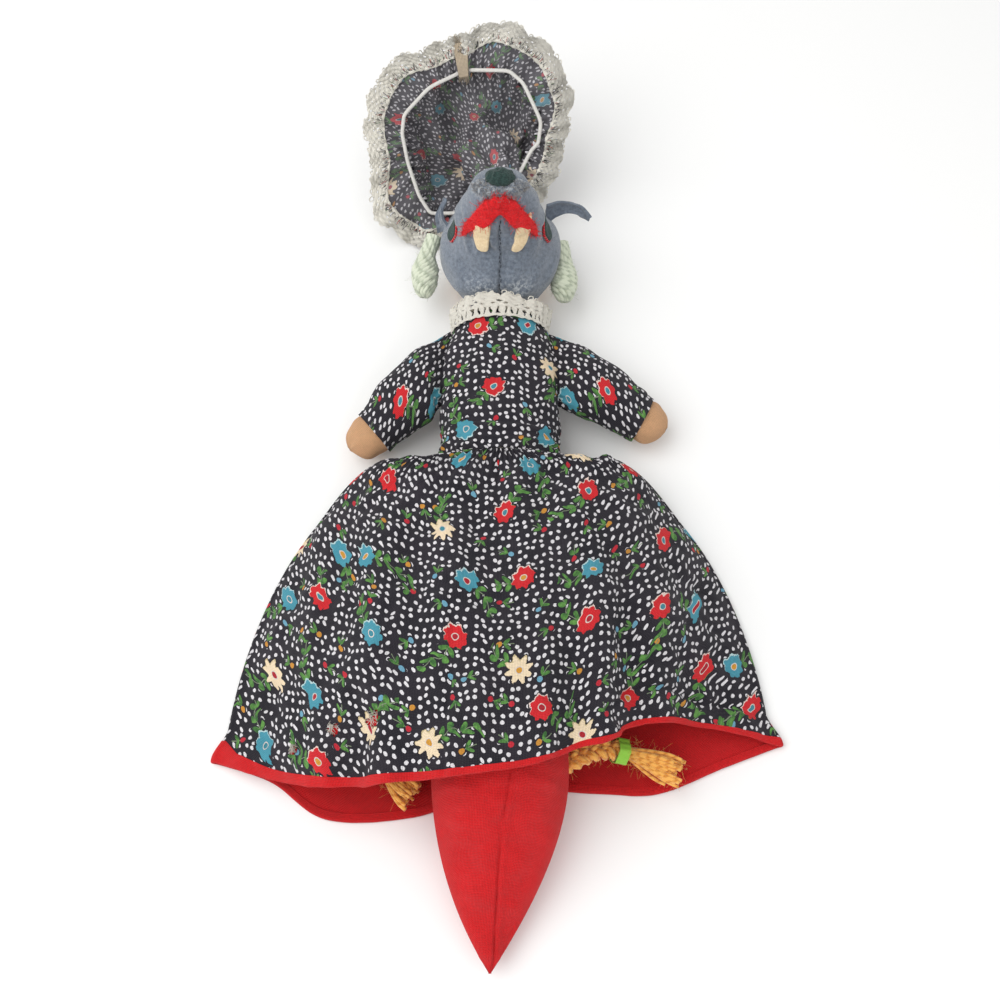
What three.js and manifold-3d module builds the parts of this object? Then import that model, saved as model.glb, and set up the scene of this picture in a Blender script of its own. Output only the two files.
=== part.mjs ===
// A cloth topsy-turvy doll, lying on its back: two dolls joined at the waist, with one reversible skirt.
// The bonneted wolf end is uncovered; the girl end lies under the skirt, with only her hood showing.
// Millimetres. +Y runs along the doll from the girl's hood to the wolf's head, +X is to the right of
// someone who looks along +Y, and +Z is up from the table. The waist is at y = 0 while it is modelled.
import * as THREE from "three";
import { mergeGeometries, mergeVertices } from "three/addons/utils/BufferGeometryUtils.js";
import Module from "manifold-3d";

const wasm = await Module();
wasm.setup();

// Shared clearances and cloth
const gap = 0.35; // between two pieces that are sewn or laid together
const clothThickness = 0.8; // calico or red cotton with its seam allowance
const feltThickness = 1.6;

// Stuffed body, the same at both ends
const bodyAxisHeight = 23.5; // the body's middle above the table
const waistHalfWidth = 29.5;
const chestHalfWidth = 30.8;
const bodyHalfDepth = 20;
const shoulderStart = 50; // from the waist, where the shoulders begin to slope
const neckPivot = 84; // from the waist to the middle of the neck's round end
const neckHalfWidth = 24;
const neckHalfDepth = 17; // also how far the round end reaches past its middle
const bodySides = 24;

// Bodices
const bodiceWaistEdge = 1.6;
const bodiceNeckEdge = 87;

// Wolf head, as a stack of rings from the back of the head to the tip of the snout
const headMiddle = 131; // from the waist
const headHalfWidth = 33.5;
const headCrown = 34; // from the head's middle to its crown
const headThroat = 34.5; // from the head's middle to its throat
const headDepth = 62; // the ball of the head, from its back to the root of the snout
const headBack = 0.6; // the back of the head above the table
const snoutTip = 94; // the flat under the nose, above the table
const snoutTipHalfWidth = 12.5;
const snoutTipHalfHeight = 9;
const snoutRounding = 4; // of the snout's edge round the nose
const faceSeam = 15; // the seam between the wolf's grey cloth and the pale face behind it
const headSides = 28;

// Felt features
const noseHeight = 4.6;
const noseHalfWidth = 7.8;
const noseHalfHeight = 5.4;
const fangLength = 15;
const fangHalfWidth = 4.2;
const earLength = 22;
const earHalfWidth = 6.5;

// Yarn
const bunRadius = 7.8;
const hairlineRadius = 2.8;
const hairlineLevel = 11; // above the table
const braidRadius = 5.2;
const tasselRadius = 7;

// Arms and sleeves
const armRoot = 58; // from the waist
const armholeHalfLength = 21;
const sleeveHalfWidth = 17.5;
const cuffHalfWidth = 13.6;
const sleeveHalfDepth = 12.2;
const cuffHalfDepth = 10.4;
const handHalfWidth = 12.4;
const handHalfDepth = 9.2;
const sleeveEase = clothThickness + gap; // from the arm's stuffed cloth to the outside of the sleeve
const armSeamDepth = 5; // how far the flat seam allowance reaches into the sleeve
const armRootRun = 16; // over which the arm fills out from its flat seam

// Lace collar
const laceThickness = 0.9;
const collarLow = 81.5;
const collarHigh = 96;
const collarFlare = 1.8;
const collarEase = 1.85; // between the bodice and the lace

// Bonnet, turned back behind the head
const bonnetTilt = Math.PI / 4; // of its mouth, from the table
const mouthRadius = 39.5;
const brimWaves = 12; // gathers round the ruffle
const brimRipple = 2.2; // height of each gather
const brimLean = 0.1; // how far the ruffle leans forward for each millimetre of its width
const bonnetLaceWidth = 9.5;
const tackSideways = 3; // where the bonnet's crown is sewn to the head
const tackLevel = 40;
const tackRadius = 3;
const bonnetDepth = 27;
const elasticRadius = 1.4;
const tabWidth = 6;

// Girl's head and hood
const girlHeadMiddle = 128;
const girlHeadHalfWidth = 30.6;
const girlHeadHalfDepth = 25.4;
const girlHeadCrown = 37;
const girlHeadHeight = 29.2; // its middle above the table
const hoodTip = 244; // from the waist
const hoodTipHeight = 9;
const hoodTipSideways = -4.5;

// Skirt
const skirtSpread = 98; // how far each side stands out past the waist, just above the hem
const hemKick = 6; // how much further the two corners of the hem reach
const skirtRightShare = 0.985; // the right side stands out a little less
const skirtWaistSide = 12; // how far its side gathers puff up past the waist seam
const skirtWaistTop = 47;
const skirtTop = 62; // height of the front over the hood
const skirtEdge = 4.3; // height of the front layer where it lies on the back layer
const hemShare = 0.955; // the rest is the red binding

const COLOURS = {
  calico: 0x231f2b, red: 0xb3161c, flesh: 0xd9a27c, wolf: 0x5c6474, felt: 0x1d2b2a, mouth: 0xd3222a,
  fang: 0xe2c9a2, wool: 0xaebfa6, lace: 0xeee6d2, elastic: 0xe9e4da, tape: 0xcbb89c,
  hair: 0xd07a2a, ribbon: 0x7fb23c, stuffing: 0xe9e2d2,
};

const doll = new THREE.Group();
const V = (x, y, z) => new THREE.Vector3(x, y, z);
const smooth = (t) => { const s = Math.min(1, Math.max(0, t)); return s * s * (3 - 2 * s); };
const mix = (a, b, t) => a + (b - a) * t;
const leastEnd = 0.004; // keeps the last ring of a rounded end a little open
const roundEnd = (t) => Math.sqrt(Math.max(leastEnd, 1 - t * t));
const degrees = Math.PI / 180;

// Solids from rings and grids
function fromIndexed(points, faces) {
  const geometry = new THREE.BufferGeometry();
  const places = points.flatMap((p) => [p.x, p.y, p.z]);
  geometry.setAttribute("position", new THREE.Float32BufferAttribute(places, 3));
  let volume = 0;
  for (const [a, b, c] of faces) volume += points[a].dot(points[b].clone().cross(points[c]));
  geometry.setIndex(faces.flatMap(([a, b, c]) => (volume < 0 ? [a, c, b] : [a, b, c])));
  return geometry;
}

// Four corners as two triangles, split along the shorter diagonal.
function fourSided(points, a, b, c, d) {
  const shorter = points[a].distanceTo(points[c]) <= points[b].distanceTo(points[d]);
  return shorter ? [[a, b, c], [a, c, d]] : [[a, b, d], [b, c, d]];
}

// A closed solid through rings of equal length, each end closed by a fan to its middle.
function loft(rings) {
  const n = rings[0].length;
  const points = rings.flat();
  const faces = [];
  for (let i = 0; i + 1 < rings.length; i++) {
    for (let j = 0; j < n; j++) {
      const [a, b] = [i * n + j, i * n + ((j + 1) % n)];
      faces.push(...fourSided(points, a, b, b + n, a + n));
    }
  }
  const ends = [[rings[0], 0, true], [rings.at(-1), (rings.length - 1) * n, false]];
  for (const [ring, start, turned] of ends) {
    const middle = ring.reduce((sum, p) => sum.add(p), V(0, 0, 0)).divideScalar(n);
    points.push(middle);
    for (let j = 0; j < n; j++) {
      const [a, b] = [start + j, start + ((j + 1) % n)];
      faces.push(turned ? [b, a, points.length - 1] : [a, b, points.length - 1]);
    }
  }
  return fromIndexed(points, faces);
}

// A tube wall, open at both ends, between outer and inner rings.
function tubeWall(outer, inner) {
  const n = outer[0].length;
  const loop = [...outer, ...inner.slice().reverse()];
  const faces = [];
  for (let i = 0; i < loop.length; i++) {
    const next = (i + 1) % loop.length;
    for (let j = 0; j < n; j++) {
      const k = (j + 1) % n;
      faces.push([i * n + j, i * n + k, next * n + k], [i * n + j, next * n + k, next * n + j]);
    }
  }
  return fromIndexed(loop.flat(), faces);
}

// A closed hoop through rings, the last joined to the first.
function hoop(rings) {
  const [count, n] = [rings.length, rings[0].length];
  const faces = [];
  for (let i = 0; i < count; i++) {
    for (let j = 0; j < n; j++) {
      const [a, b] = [i * n + j, i * n + ((j + 1) % n)];
      const [c, d] = [((i + 1) % count) * n + j, ((i + 1) % count) * n + ((j + 1) % n)];
      faces.push([a, b, d], [a, d, c]);
    }
  }
  return fromIndexed(rings.flat(), faces);
}

function surfaceNormal(point, u, v) {
  const step = 1e-3;
  const across = point(u + step, v).sub(point(u - step, v));
  const along = point(u, v + step).sub(point(u, v - step));
  return across.cross(along).normalize();
}

// A sheet of cloth or felt over the surface point(u, v), from one offset along its normal to another.
// Where u closes on itself the sheet is a ring.
function sheet(point, { us, vs, from, to, closed = false, flip = 1 }) {
  const lifted = (u, v, offset) => point(u, v).addScaledVector(surfaceNormal(point, u, v), flip * offset);
  const grid = (offset) => us.map((u) => vs.map((v) => lifted(u, v, offset)));
  return slabBetween(grid(from), grid(to), closed);
}

// A solid between two grids of points. Where the grids close on themselves it is a ring.
function slabBetween(low, high, closed = false) {
  const [nu, nv] = [low.length, low[0].length];
  const points = [...low.flat(), ...high.flat()];
  const at = (side, i, j) => side * nu * nv + (i % nu) * nv + j;
  const faces = [];
  const quad = (a, b, c, d) => faces.push([a, b, c], [a, c, d]);
  const last = closed ? nu : nu - 1;
  for (let i = 0; i < last; i++) {
    for (let j = 0; j + 1 < nv; j++) {
      quad(at(1, i, j), at(1, i + 1, j), at(1, i + 1, j + 1), at(1, i, j + 1));
      quad(at(0, i, j), at(0, i, j + 1), at(0, i + 1, j + 1), at(0, i + 1, j));
    }
    quad(at(0, i, 0), at(0, i + 1, 0), at(1, i + 1, 0), at(1, i, 0));
    quad(at(1, i, nv - 1), at(1, i + 1, nv - 1), at(0, i + 1, nv - 1), at(0, i, nv - 1));
  }
  if (!closed) {
    for (let j = 0; j + 1 < nv; j++) {
      quad(at(0, 0, j), at(1, 0, j), at(1, 0, j + 1), at(0, 0, j + 1));
      quad(at(1, nu - 1, j), at(0, nu - 1, j), at(0, nu - 1, j + 1), at(1, nu - 1, j + 1));
    }
  }
  return fromIndexed(points, faces);
}

const steps = (from, to, count) => Array.from({ length: count + 1 }, (_, i) => mix(from, to, i / count));
const turns = (count) => Array.from({ length: count }, (_, i) => (i / count) * 2 * Math.PI);

// Booleans
function solidOf(geometry) {
  const bare = geometry.clone();
  for (const name of ["normal", "uv"]) bare.deleteAttribute(name);
  const merged = mergeVertices(bare, 1e-4);
  return new wasm.Manifold(new wasm.Mesh({
    numProp: 3,
    vertProperties: merged.attributes.position.array,
    triVerts: new Uint32Array(merged.index.array),
  }));
}

function geometryOf(solid) {
  const mesh = solid.getMesh();
  const geometry = new THREE.BufferGeometry();
  geometry.setAttribute("position", new THREE.BufferAttribute(mesh.vertProperties, 3));
  geometry.setIndex(new THREE.BufferAttribute(mesh.triVerts, 1));
  return geometry;
}

const cut = (geometry, ...tools) => geometryOf(
  tools.reduce((solid, tool) => solid.subtract(solidOf(tool)), solidOf(geometry)));
const keep = (geometry, tool) => geometryOf(solidOf(geometry).intersect(solidOf(tool)));

function block(low, high) {
  const size = high.clone().sub(low);
  const middle = low.clone().add(high).multiplyScalar(0.5);
  return new THREE.BoxGeometry(size.x, size.y, size.z).translate(middle.x, middle.y, middle.z);
}

function add(name, geometry, colour) {
  const material = new THREE.MeshStandardMaterial({ color: colour, roughness: 0.9, metalness: 0 });
  const mesh = new THREE.Mesh(geometry, material);
  mesh.name = name;
  doll.add(mesh);
}

// Stuffed body: one sack from neck to neck
const clamped = (t) => Math.min(1, Math.max(0, t));
const leastNeck = 0.0004; // keeps the last ring of the neck a little open
function neckShrink(d) {
  const past = Math.max(0, d - neckPivot) / neckHalfDepth;
  return Math.sqrt(Math.max(leastNeck, 1 - past ** 2));
}
const shoulderTurn = (d) => clamped((d - shoulderStart) / (neckPivot - shoulderStart)) * (Math.PI / 2);

function bodyHalfWidthAt(y) {
  const d = Math.abs(y);
  const chest = mix(waistHalfWidth, chestHalfWidth, smooth(d / shoulderStart));
  return mix(chest, neckHalfWidth, 1 - Math.cos(shoulderTurn(d))) * neckShrink(d);
}

function bodyHalfDepthAt(y) {
  const d = Math.abs(y);
  return mix(bodyHalfDepth, neckHalfDepth, Math.sin(shoulderTurn(d)) ** 2) * neckShrink(d);
}

function bodyRing(y, offset) {
  const [wide, deep] = [bodyHalfWidthAt(y) + offset, bodyHalfDepthAt(y) + offset];
  return turns(bodySides).map((a) => V(wide * Math.cos(a), y, bodyAxisHeight + deep * Math.sin(a)));
}

const neckTurns = [88, 72, 54, 36, 18];
const neckStations = neckTurns.map((turn) => neckPivot + neckHalfDepth * Math.sin(turn * degrees));
const shoulderSteps = [1 / 3, 2 / 3].map((share) => mix(shoulderStart, neckPivot, share));
const bodyStations = [0, shoulderStart / 2, shoulderStart, ...shoulderSteps, neckPivot];
const coreStations = [
  ...neckStations.map((y) => -y), ...bodyStations.slice(1).reverse().map((y) => -y), ...bodyStations,
  ...neckStations.slice().reverse(),
];
add("body_core", loft(coreStations.map((y) => bodyRing(y, 0))), COLOURS.stuffing);

// Bodices: a calico one at the wolf's end and a red one at the girl's
const bodiceStations = [bodiceWaistEdge, ...bodyStations.slice(1), bodiceNeckEdge];
const bodiceOuter = gap + clothThickness;
const armHingeX = chestHalfWidth + bodiceOuter + 1.4 * gap; // room to turn against the side of the chest
const bodices = [["wolf_bodice", 1, COLOURS.calico], ["girl_bodice", -1, COLOURS.red]];
for (const [name, end, colour] of bodices) {
  const rings = (offset) => bodiceStations.map((y) => bodyRing(end * y, offset));
  add(name, tubeWall(rings(bodiceOuter), rings(gap)), colour);
}
// The band that hides the waist seam, between the two bodices
const bandHalf = bodiceWaistEdge - gap;
const waistRings = (offset) => [-bandHalf, bandHalf].map((y) => bodyRing(y, offset));
add("waist_band", tubeWall(waistRings(bodiceOuter), waistRings(gap)), COLOURS.calico);

// The collar stands a little off the bodice, so that it clears it when the head nods.
function collarRings(offset) {
  return [collarLow, (collarLow + collarHigh) / 2, collarHigh].map((y) => {
    const flare = collarFlare * smooth((y - collarLow) / (collarHigh - collarLow));
    const wide = bodyHalfWidthAt(collarLow) + bodiceOuter + gap + offset + flare;
    const deep = bodyHalfDepthAt(collarLow) + bodiceOuter + collarEase + offset + flare;
    return turns(bodySides).map((a) => V(wide * Math.cos(a), y, bodyAxisHeight + deep * Math.sin(a)));
  });
}
// All the room that the collar takes, from inside its hollow to just outside its lace
const collarSolid = (margin) => loft(collarRings(laceThickness + margin));

// Wolf head: its rings lie in level planes, stacked from the back of the head up to the snout's tip
const snoutRoot = headBack + headDepth;
const snoutRootHalfWidth = 24;
const snoutRootHalfHeight = 21;
const browStart = snoutRoot - 26; // where the ball of the head begins to run into the snout
const browRun = 30;
const chinStart = 34; // the throat runs into the snout from lower down
const chinRun = 40;
const ballFullness = 0.55; // the nearer to nothing, the squarer the ball of the head
function headRadiiAt(z) {
  const share = (z - headBack) / headDepth;
  const ball = Math.sin(Math.PI * clamped(share * 0.9 + 0.035)) ** ballFullness;
  const up = smooth((z - browStart) / browRun);
  const along = clamped((z - snoutRoot) / (snoutTip - snoutRoot));
  const round = roundEnd(Math.max(0, 1 - (snoutTip - z) / snoutRounding) * 0.8);
  const snoutWidth = mix(snoutRootHalfWidth, snoutTipHalfWidth, along ** 1.15) * round;
  const snoutHeight = mix(snoutRootHalfHeight, snoutTipHalfHeight, along ** 0.9) * round;
  return {
    width: mix(headHalfWidth * ball, snoutWidth, up),
    crown: mix(headCrown * ball, snoutHeight, up),
    throat: mix(headThroat * ball, snoutHeight, smooth((z - chinStart) / chinRun)),
  };
}

// A point on the wolf's head: turn 0 is the throat side, and half a turn is the crown.
function headPoint(turn, z, offset = 0) {
  const r = headRadiiAt(z);
  const reach = Math.cos(turn) > 0 ? r.throat : r.crown;
  return V((r.width + offset) * Math.sin(turn), headMiddle - (reach + offset) * Math.cos(turn), z);
}

const headLevels = [headBack, 2.6, 6, 10.5, 16, 24, 33, 41, 48, 55, 62, 69, 77, 85, 90, 92.5, snoutTip];
const headRing = (z, offset) => turns(headSides).map((a) => headPoint(a, z, offset));
const headRings = (offset) => headLevels.map((z) => headRing(z, offset));
// The neck's round end, grown by an offset. Nodding about the neck's pivot leaves it where it is.
const neckEnd = (end, offset) => new THREE.SphereGeometry(1, bodySides, 14).rotateZ(Math.PI / 2)
  .scale(neckHalfWidth + offset, neckHalfDepth + offset, neckHalfDepth + offset)
  .translate(0, end * neckPivot, bodyAxisHeight);
const bigSide = 400; // of a block that is larger than the doll
const headBall = cut(loft(headRings(0)), neckEnd(1, 2 * gap), collarSolid(gap));
const frontOfSeam = block(V(-bigSide, -bigSide, faceSeam + gap / 2), V(bigSide, bigSide, bigSide));
const backOfSeam = block(V(-bigSide, -bigSide, -bigSide), V(bigSide, bigSide, faceSeam - gap / 2));
add("wolf_head", keep(headBall, frontOfSeam), COLOURS.wolf);
add("granny_face", keep(headBall, backOfSeam), COLOURS.flesh);

// Felt laid on the snout and head, over a patch of turns and levels, and cut to the head's surface
const headGrown = loft(headRings(gap));
function patch(place, us, vs) {
  const point = (u, v, depth) => {
    const { turn, level } = place(u, v);
    return headPoint(turn, level, depth);
  };
  const grid = (depth) => us.map((u) => vs.map((v) => point(u, v, depth)));
  return cut(slabBetween(grid(-feltThickness), grid(gap + feltThickness)), headGrown);
}

// The mouth: a lip that dips at both fangs, with a notch in the middle.
// Side is 0 at the middle of the mouth and 1 at a corner.
const mouthReach = 80 * degrees;
const lipNotch = 80; // height of the lip's lower edge in the middle, over the fangs and at the corners
const lipAtFang = 72;
const lipCorner = 58;
const lipTop = 89; // height of its upper edge in the middle and at the corners
const lipTopCorner = 66;
const fangSide = 0.4; // how far out the fangs are
function lipLow(side) {
  const inner = mix(lipNotch, lipAtFang, smooth(side / fangSide));
  return mix(inner, lipCorner, smooth((side - fangSide) / (1 - fangSide)));
}
const lipHigh = (side) => mix(lipTop, lipTopCorner, side ** 1.9);
function mouthPlace(u, v) {
  const side = Math.abs(2 * u - 1);
  return { turn: mix(-mouthReach, mouthReach, u), level: mix(lipLow(side), lipHigh(side), v) };
}
add("mouth_felt", patch(mouthPlace, steps(0, 1, 16), [0, 0.5, 1]), COLOURS.mouth);

// The nose, a felt dome on the flat tip of the snout
const noseRings = [0, 24, 48, 70, 84].map((d) => turns(20).map((a) => V(
  noseHalfWidth * Math.cos(d * degrees) * Math.cos(a),
  headMiddle + noseHalfHeight * Math.cos(d * degrees) * Math.sin(a),
  snoutTip + gap + noseHeight * Math.sin(d * degrees))));
add("nose_felt", loft(noseRings), COLOURS.felt);

// Fangs, flat felt teeth that hang from the lip over the chin
const fangTopTurn = 33 * degrees;
const fangTipTurn = 22 * degrees;
const chinRadius = 22; // of the head where the fangs lie, which turns their width into an angle
for (const [name, side] of [["fang_left", -1], ["fang_right", 1]]) {
  const fangPlace = (u, v) => {
    const across = ((2 * u - 1) * fangHalfWidth * mix(1, 0.45, v * v)) / chinRadius;
    const turn = side * mix(fangTopTurn, fangTipTurn, v) + across;
    const top = lipLow(Math.abs(turn) / mouthReach) - 2 * gap;
    return { turn, level: top - v * fangLength * 0.86 };
  };
  add(name, patch(fangPlace, [0, 0.5, 1], steps(0, 1, 3)), COLOURS.fang);
}

// Eyes, dark felt almonds high on the sides of the face
const eyeTurns = [82, 108];
const eyeLevels = [54, 58];
const eyeHalfHeight = 7;
for (const [name, side] of [["eye_left", -1], ["eye_right", 1]]) {
  const eyePlace = (u, v) => {
    const width = Math.sin(Math.PI * mix(0.08, 0.92, v)) ** 0.7;
    const level = mix(...eyeLevels, v) + (2 * u - 1) * eyeHalfHeight * width;
    return { turn: side * mix(...eyeTurns, v) * degrees, level };
  };
  add(name, patch(eyePlace, [0, 0.5, 1], steps(0, 1, 5)), COLOURS.felt);
}

// Ears, felt leaves sewn to the sides of the head
function earSheet(root, along, across, curl) {
  const point = (u, v) => {
    const width = earHalfWidth * Math.sin(Math.PI * mix(0.22, 0.96, v)) ** 0.8;
    const lift = curl * Math.sin(Math.PI * v) - Math.abs(curl) * 0.9 * v * v;
    return root.clone().addScaledVector(along, v * earLength).addScaledVector(across, (2 * u - 1) * width)
      .addScaledVector(along.clone().cross(across).normalize(), lift);
  };
  const half = feltThickness / 2;
  return sheet(point, { us: [0, 0.5, 1], vs: steps(0, 1, 6), from: -half, to: half });
}
const earRootRight = V(27.5, headMiddle + 17, 43);
const earRootLeft = V(-32, headMiddle + 10, 38);
const earRight = earSheet(earRootRight, V(0.99, -0.06, 0.1).normalize(), V(0.08, 0.86, 0.5).normalize(), 4);
const earLeft = earSheet(earRootLeft, V(0, 0.75, 0.66).normalize(), V(-0.7, 0.47, -0.53).normalize(), -1.5);
add("ear_right", cut(earRight, headGrown), COLOURS.wolf);
add("ear_left", cut(earLeft, headGrown), COLOURS.wolf);

// Tapered yarn, felt and stuffed pieces that follow a path
function pathRings(points, radius, sides, count) {
  const path = new THREE.CatmullRomCurve3(points);
  return steps(0, 1, count).map((t) => {
    const [middle, along] = [path.getPointAt(t), path.getTangentAt(t)];
    const level = V(0, 0, 1).cross(along).normalize();
    const up = along.clone().cross(level).normalize();
    return turns(sides).map((a) => middle.clone()
      .addScaledVector(level, radius(t) * Math.cos(a)).addScaledVector(up, radius(t) * Math.sin(a)));
  });
}

// Wound yarn buns at both sides of the head, and the yarn hairline behind them
const bunPaths = {
  left: [V(-36.5, headMiddle + 10, 33), V(-41.5, headMiddle - 2, 28), V(-43, headMiddle - 24, 18)],
  right: [V(33.5, headMiddle + 6, 31), V(36.5, headMiddle - 4, 27), V(37.5, headMiddle - 25, 18)],
};
const hankRadius = 5.2; // of the yarn above the bun
const bunMiddle = 0.66; // share of the path at which the bun is fullest
for (const [side, path] of Object.entries(bunPaths)) {
  const radius = (t) => {
    const bun = bunRadius * roundEnd(Math.abs(t - bunMiddle) / (1.01 - bunMiddle));
    return t < 0.5 ? Math.max(bun, hankRadius) : bun;
  };
  add(`hair_bun_${side}`, cut(loft(pathRings(path, radius, 12, 10)), headGrown), COLOURS.wool);
}
const hairlineReach = 78 * degrees; // to each side of the crown
const hairlinePath = steps(-1, 1, 8).map((s) => (
  headPoint(Math.PI + s * hairlineReach, hairlineLevel, hairlineRadius * 0.45)));
const hairline = loft(pathRings(hairlinePath, () => hairlineRadius, 8, 12));
add("granny_hairline", cut(hairline, headGrown), COLOURS.wool);

// Lace collar, sewn to the head, round the top of the bodice
add("collar_lace", tubeWall(collarRings(laceThickness), collarRings(0)), COLOURS.lace);

// Arms: each is flat at its armhole seam, so that it swings there
const armSides = 16;
function arm(end, side, wrist, tip, lift) {
  const root = V(side * armHingeX, end * armRoot, bodyAxisHeight);
  const elbow = root.clone().lerp(wrist, 0.4).setZ(mix(root.z, wrist.z, 0.15) + lift);
  const path = new THREE.CatmullRomCurve3([root, elbow, wrist, tip]);
  const total = path.getLength();
  const cuff = 1 - tip.distanceTo(wrist) / total;
  const seam = armSeamDepth / total;
  // Sleeve from its armhole seam to its cuff; the offset goes in from the cloth's outside.
  const ring = (t, offset) => {
    const [middle, along] = [path.getPointAt(t), path.getTangentAt(t)];
    const square = V(0, 0, 1).cross(along).normalize().multiplyScalar(end * side);
    const level = V(0, end, 0).lerp(square, smooth(t / 0.4)).normalize();
    const up = V(0, 0, 1).addScaledVector(along, -along.z).normalize();
    const taper = smooth((t - 0.35) / (cuff - 0.35));
    const puff = Math.min(1, (t * total) / armRootRun) ** 0.85;
    let wide = mix(mix(armholeHalfLength, sleeveHalfWidth, smooth(t / 0.45)), cuffHalfWidth, taper);
    let deep = mix(clothThickness + gap / 4, mix(sleeveHalfDepth, cuffHalfDepth, taper), puff);
    if (t > cuff) {
      const rest = roundEnd((Math.min(0.985, (t - cuff) / (1 - cuff))) ** 1.35);
      [wide, deep] = [(handHalfWidth + sleeveEase) * rest, (handHalfDepth + sleeveEase) * rest];
    }
    return turns(armSides).map((a) => middle.clone()
      .addScaledVector(level, (wide - offset) * Math.cos(a))
      .addScaledVector(up, (deep - offset) * Math.sin(a)));
  };
  const sleeveStations = [seam, 0.17, 0.28, 0.4, 0.55, cuff];
  const outside = [0, ...sleeveStations].map((t) => ring(t, 0));
  const inside = sleeveStations.map((t) => ring(t, sleeveEase - gap)).reverse();
  const hand = [0.15, 0.35, 0.6, 0.8, 0.93, 1].map((share) => mix(cuff, 1, share));
  // The stuffed arm starts a gap further along, on the straight line between the sleeve's first two rings.
  const [first, ...others] = [...sleeveStations, ...hand].map((t) => ring(t, sleeveEase));
  const startShare = (2 * gap) / (total * (sleeveStations[1] - seam));
  const start = first.map((point, i) => point.clone().lerp(others[0][i], startShare));
  return { stuffed: loft([start, ...others]), sleeve: loft([...outside, ...inside]) };
}

const armPlaces = [
  { name: "wolf", end: 1, side: -1, wrist: V(-67.3, 26, 14.5), tip: V(-80, 17, 12.5), lift: 1 },
  { name: "wolf", end: 1, side: 1, wrist: V(76.5, 34, 14.5), tip: V(89, 29, 12.5), lift: 1 },
  { name: "girl", end: -1, side: -1, wrist: V(-62, -31, 14.5), tip: V(-73.5, -24, 13), lift: -1 },
  { name: "girl", end: -1, side: 1, wrist: V(62, -31, 14.5), tip: V(73.5, -24, 13), lift: -1 },
];
for (const { name, end, side, wrist, tip, lift } of armPlaces) {
  const made = arm(end, side, wrist, tip, lift);
  const hand = side < 0 ? "left" : "right";
  add(`${name}_arm_${hand}`, made.stuffed, COLOURS.flesh);
  add(`${name}_sleeve_${hand}`, made.sleeve, end > 0 ? COLOURS.calico : COLOURS.red);
}

// Bonnet: its crown is tacked to the head, and the rest is turned back with its mouth open to the front
const mouthMiddle = V(-16.6, headMiddle + 69.4, 42);
const mouthUp = V(0, Math.cos(bonnetTilt), Math.sin(bonnetTilt));
const mouthOut = V(0, -Math.sin(bonnetTilt), Math.cos(bonnetTilt));
const onMouth = (a, r, out) => mouthMiddle.clone().addScaledVector(V(1, 0, 0), r * Math.cos(a))
  .addScaledVector(mouthUp, r * Math.sin(a)).addScaledVector(mouthOut, out);
// How far the calico ruffle reaches from the mouth's middle: it has slumped unevenly.
// Each pair is a turn in degrees, from the right side through the top, and a reach in millimetres.
const brimReaches = [
  [0, 44], [28, 54], [50, 58.5], [74, 57.5], [94, 48.5], [114, 46.5], [140, 53], [162, 52.5],
  [190, 49], [218, 59.5], [238, 58], [258, 47], [280, 42], [304, 41.5], [334, 42.5],
];
function brimAt(a) {
  const turn = ((a / degrees) % 360 + 360) % 360;
  const i = brimReaches.findLastIndex(([start]) => start <= turn + 1e-9);
  const [from, to] = [brimReaches[i], brimReaches[(i + 1) % brimReaches.length]];
  const span = (to[0] - from[0] + 360) % 360;
  return mix(from[1], to[1], smooth((turn - from[0]) / span));
}
// How far the ruffle and its lace stand out of the mouth's plane: they lean and ripple more further out.
const rippleRun = 14; // from the mouth to where the gathers are at their highest
function brimOut(a, r) {
  const ripple = Math.min(1, (r - mouthRadius) / rippleRun) * brimRipple * Math.sin(brimWaves * a);
  return (r - mouthRadius) * brimLean + ripple;
}
const onBrim = (a, r) => onMouth(a, r, brimOut(a, r));

const crownAt = headPoint(Math.PI, tackLevel, 1.5 * gap + clothThickness / 2);
const tack = V(tackSideways, crownAt.y, tackLevel);

function bonnetCrownPoint(a, v) {
  const start = tack.clone().addScaledVector(V(Math.cos(a), 0, Math.sin(a)), tackRadius);
  const sag = 4 * bonnetDepth * v * (1 - v); // most, the bonnet's depth, at half way
  return start.lerp(onMouth(a, mouthRadius, 0), v).addScaledVector(mouthOut, -sag);
}
function bonnetPoint(a, v) {
  if (v <= 1) return bonnetCrownPoint(a, v);
  return onBrim(a, mix(mouthRadius, brimAt(a), v - 1));
}
const bonnetTurns = turns(36);
const bonnetVs = [0, 0.12, 0.28, 0.45, 0.65, 0.85, 1, 1.4, 2];
function bonnetRing(point, vs, thickness) {
  return sheet(point, { us: bonnetTurns, vs, from: -thickness / 2, to: thickness / 2, closed: true });
}
add("bonnet_cloth", bonnetRing(bonnetPoint, bonnetVs, clothThickness), COLOURS.calico);
const bonnetLacePoint = (a, v) => onBrim(a, brimAt(a) + gap + bonnetLaceWidth * v);
add("bonnet_lace", bonnetRing(bonnetLacePoint, [0, 1], laceThickness), COLOURS.lace);

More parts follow.
